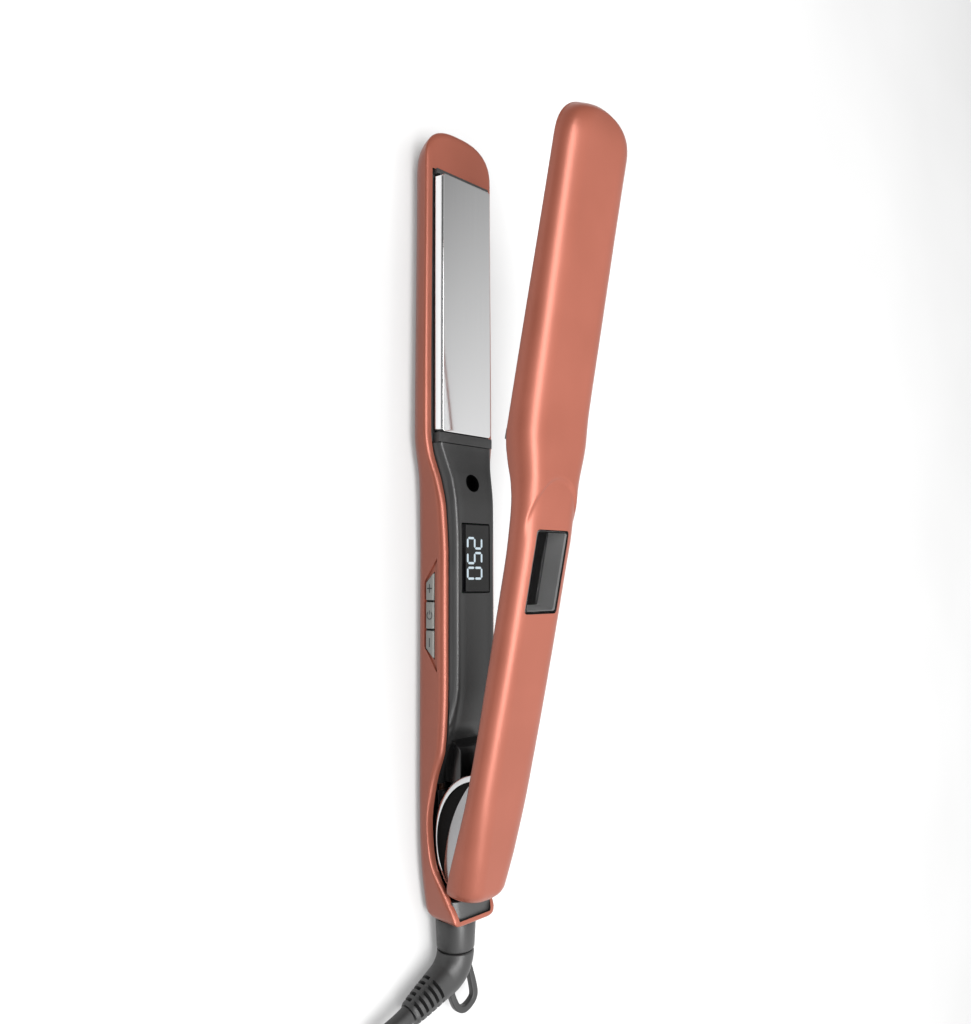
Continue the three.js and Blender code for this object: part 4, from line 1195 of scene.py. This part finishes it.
def sleeve_axis(distance):
    """A point on the bent axis of the strain relief, and the heading there."""
    turn = min(distance / SLEEVE_BEND, SLEEVE_TURN)
    rest = max(distance - SLEEVE_BEND * SLEEVE_TURN, 0)
    heading = Vector((-cos(turn), sin(turn), 0))
    point = Vector((SLEEVE_X - SLEEVE_BEND * sin(turn), SLEEVE_BEND * (1 - cos(turn)), SWIVEL_Z))
    return point + heading * rest, heading


def slot_depth(distance, angle):
    """Five cross slots in each of four rows, between the plain spines of the strain relief."""
    if not FIRST_SLOT <= distance <= FIRST_SLOT + 4 * SLOT_PITCH + SLOT_LENGTH:
        return 0
    along = (distance - FIRST_SLOT) % SLOT_PITCH
    across = (angle + ROW_TURN + pi / 4) % (pi / 2) - pi / 4
    return SLOT_DEPTH if along <= SLOT_LENGTH and abs(across) <= ROW_REACH else 0


def sleeve_ring(distance):
    point, heading = sleeve_axis(distance)
    across = Vector((heading.y, -heading.x, 0))
    inset = 0.3 * max(0, 1 - distance / 0.4)
    ring = []
    for k in range(SLEEVE_SIDES):
        angle = 2 * pi * k / SLEEVE_SIDES
        size = sleeve_radius(distance) - inset - slot_depth(distance, angle)
        ring.append(point + (across * cos(angle) + Vector((0, 0, 1)) * sin(angle)) * size)
    return ring


def strain_relief():
    """The bent sleeve. A face whose points all lie in a slot is painted near black, as painted shade
    in the slot.
    """
    steps = int(26.2 / SLEEVE_STEP)
    distances = [0, 0.15, 0.4] + [0.6 + SLEEVE_STEP * k for k in range(steps)] + [26.86]
    rings = [sleeve_ring(distance) for distance in distances]
    sleeve = object_of("cord_sleeve", *skin(rings), [RUBBER, SLOT_SHADE], 40)
    for face in sleeve.data.polygons:
        places = [divmod(index, SLEEVE_SIDES) for index in face.vertices]
        depths = [slot_depth(distances[row], 2 * pi * k / SLEEVE_SIDES) for row, k in places]
        face.material_index = 1 if min(depths) > 0 else 0
    return placed(sleeve, "swivel", "soft_rubber", "strain_relief")


def swivel_barrel():
    """The turning gland, a ring with a collar inside the end wall and a barrel outside it."""
    outline = [(-23.4, 2.5), (-23.4, 3.2), (-26.3, 3.2), (-26.3, 4.0), (-28.8, 4.0), (-28.8, 6.3),
               (-28.95, 6.6), (-29.3, 6.85), (-31, 6.88), (-38.4, 6.5), (-38.9, 6.3), (-39.2, 5.9),
               (-39.2, 2.5)]
    barrel = turned("swivel_gland", outline, (0, 0, SWIVEL_Z), "x", [RUBBER], 96, 40, wrap=True)
    return placed(barrel, "swivel", "soft_rubber", "swivel_barrel")


def soft_square(sides=28):
    """Points round a square of two units across with well rounded corners."""
    angles = [2 * pi * k / sides for k in range(sides)]
    return [(soften(cos(a)), soften(sin(a))) for a in angles]


def soften(value):
    return copysign(abs(value) ** 0.4, value)


def hanging_loop():
    """The flat loop, a rounded strip whose two ends meet the strain relief."""
    route = [(-43.9, -4.3), (-46.4, -5.55), (-50, -6.75), (-53.8, -7.85), (-57.2, -8.35),
             (-59.3, -6.9), (-60.6, -3.6), (-59.3, -0.6), (-56, 1.4), (-53.0, 2.4), (-50.8, 2.7)]
    path = smooth_path([(x, y, SWIVEL_Z) for x, y in route], 0.5)
    rings = []
    for i, point in enumerate(path):
        heading = (path[min(i + 1, len(path) - 1)] - path[max(i - 1, 0)]).normalized()
        across = Vector((heading.y, -heading.x, 0))
        along = i / (len(path) - 1)
        half = 1.05 + 0.25 * sin(pi * along) ** 2
        rings.append([point + across * u * half + Vector((0, 0, v * 1.2))
                      for u, v in soft_square()])
    strip = object_of("hang_loop", *skin(rings), [RUBBER], 40)
    return placed(strip, "swivel", "soft_rubber", "hanging_loop")


# ---- all the pieces
KEYS = ("plus", "power", "minus")

camera()
plug_pieces = [plug(), plug_pin(1, "plug_pin_left"), plug_pin(-1, "plug_pin_right"), cord_tie()]
mains_cord()
lower_shell()
upper_shell()
lower_inner_cover()
upper_inner_cover()
display()
upper_window()
for kind in KEYS:
    key(kind)
cheek(1, "hinge_cheek_left")
cheek(-1, "hinge_cheek_right")
strain_relief()
swivel_barrel()
hanging_loop()

# The inner pieces are copies of the CAD solids with the edges rounded.
for arm in ("lower", "upper"):
    carried_over(arm + "_heater_plate", PLATE, 0.35, 4)
    carried_over(arm + "_plate_frame", FRAME_BLACK, 0.3, 3)
    carried_over(arm + "_heater", CERAMIC, 0.3)
    for end in ("rear", "front"):
        carried_over(f"{arm}_cushion_{end}", SILICONE, 0.6, 3)
        carried_over(f"{arm}_screw_{end}", STEEL, 0.12)
    carried_over(arm + "_thermistor", SENSOR, 0.2)
    carried_over(arm + "_thermal_fuse", SENSOR, 0.12)
    carried_over(arm + "_heater_lead", LEAD, 0.05, 1, 0.1)
    carried_over(arm + "_hinge_bracket", STEEL, 0.15)
carried_over("display_module", BLACK_AND_SHADE, 0.25)
carried_over("control_board", BOARD, 0.12)
tail_insert()
for kind in KEYS:
    carried_over("switch_" + kind, BLACK_AND_SHADE, 0.15)
carried_over("hinge_pin", STEEL, 0.25)
carried_over("hinge_bush_left", BRASS, 0.15)
carried_over("hinge_bush_right", BRASS, 0.15)
carried_over("hinge_spring", STEEL, 0.03, 1, 0.1)
carried_over("swivel_retaining_ring", STEEL, 0.12)
carried_over("mains_wire_left", WIRE_BROWN, 0.05, 1, 0.1)
carried_over("mains_wire_right", WIRE_BLUE, 0.05, 1, 0.1)


# ---- floor and light
def floor():
    """A plain pale sheet, just under the frame's own floor."""
    n = Nodes("floor")
    cloud = n.noise(6, 2)
    n.set(colour=n.ramp(cloud, (0.31, 0.31, 0.31), (0.33, 0.33, 0.33)),
          roughness=0.9, specular=0.1, emission=(1, 1, 1, 1), emission_strength=0.24)
    corners = [(-3000, -3000, -0.2), (3000, -3000, -0.2), (3000, 3000, -0.2), (-3000, 3000, -0.2)]
    object_of("floor", corners, [(0, 1, 2, 3)], [n.material])


def softbox(name, place, target, size, power, size_y=None, mirrored_in_gloss=True):
    """A square or oblong lamp of so many watts at a place, facing a target."""
    data = bpy.data.lights.new(name, "AREA")
    data.shape = "RECTANGLE"
    data.size = size
    data.size_y = size_y or size
    data.energy = power
    lamp = in_scene(name, data)
    lamp.location = place
    lamp.visible_glossy = mirrored_in_gloss
    lamp.rotation_mode = "QUATERNION"
    lamp.rotation_quaternion = (Vector(target) - Vector(place)).to_track_quat("-Z", "Y")


def world():
    """A pale studio: brighter overhead and behind the iron than on the camera's side."""
    scene_world = bpy.data.worlds.new("studio")
    bpy.context.scene.world = scene_world
    scene_world.use_nodes = True
    tree = scene_world.node_tree
    direction = tree.nodes.new("ShaderNodeTexCoord").outputs["Generated"]
    lean = tree.nodes.new("ShaderNodeVectorMath")
    lean.operation = "DOT_PRODUCT"
    lean.inputs[1].default_value = (-0.9, -0.35, 0.45)
    tree.links.new(direction, lean.inputs[0])
    spread_out = tree.nodes.new("ShaderNodeMapRange")
    spread_out.inputs["From Min"].default_value = -0.38
    spread_out.inputs["From Max"].default_value = 0.95
    spread_out.inputs["To Min"].default_value = 0.12
    spread_out.inputs["To Max"].default_value = 1.2
    tree.links.new(lean.outputs["Value"], spread_out.inputs["Value"])
    tree.links.new(spread_out.outputs["Result"], tree.nodes["Background"].inputs["Strength"])
    tree.nodes["Background"].inputs["Color"].default_value = (1, 1, 1, 1)


bpy.context.scene.view_settings.view_transform = "Standard"
floor()
world()
softbox("overhead", (0.05, -0.25, 1.15), (0.09, 0, 0.03), 1.5, 24.5, mirrored_in_gloss=False)
softbox("strip", (0.02, 0.22, 0.72), (0.10, 0, 0.03), 1.1, 9.5, 0.22)
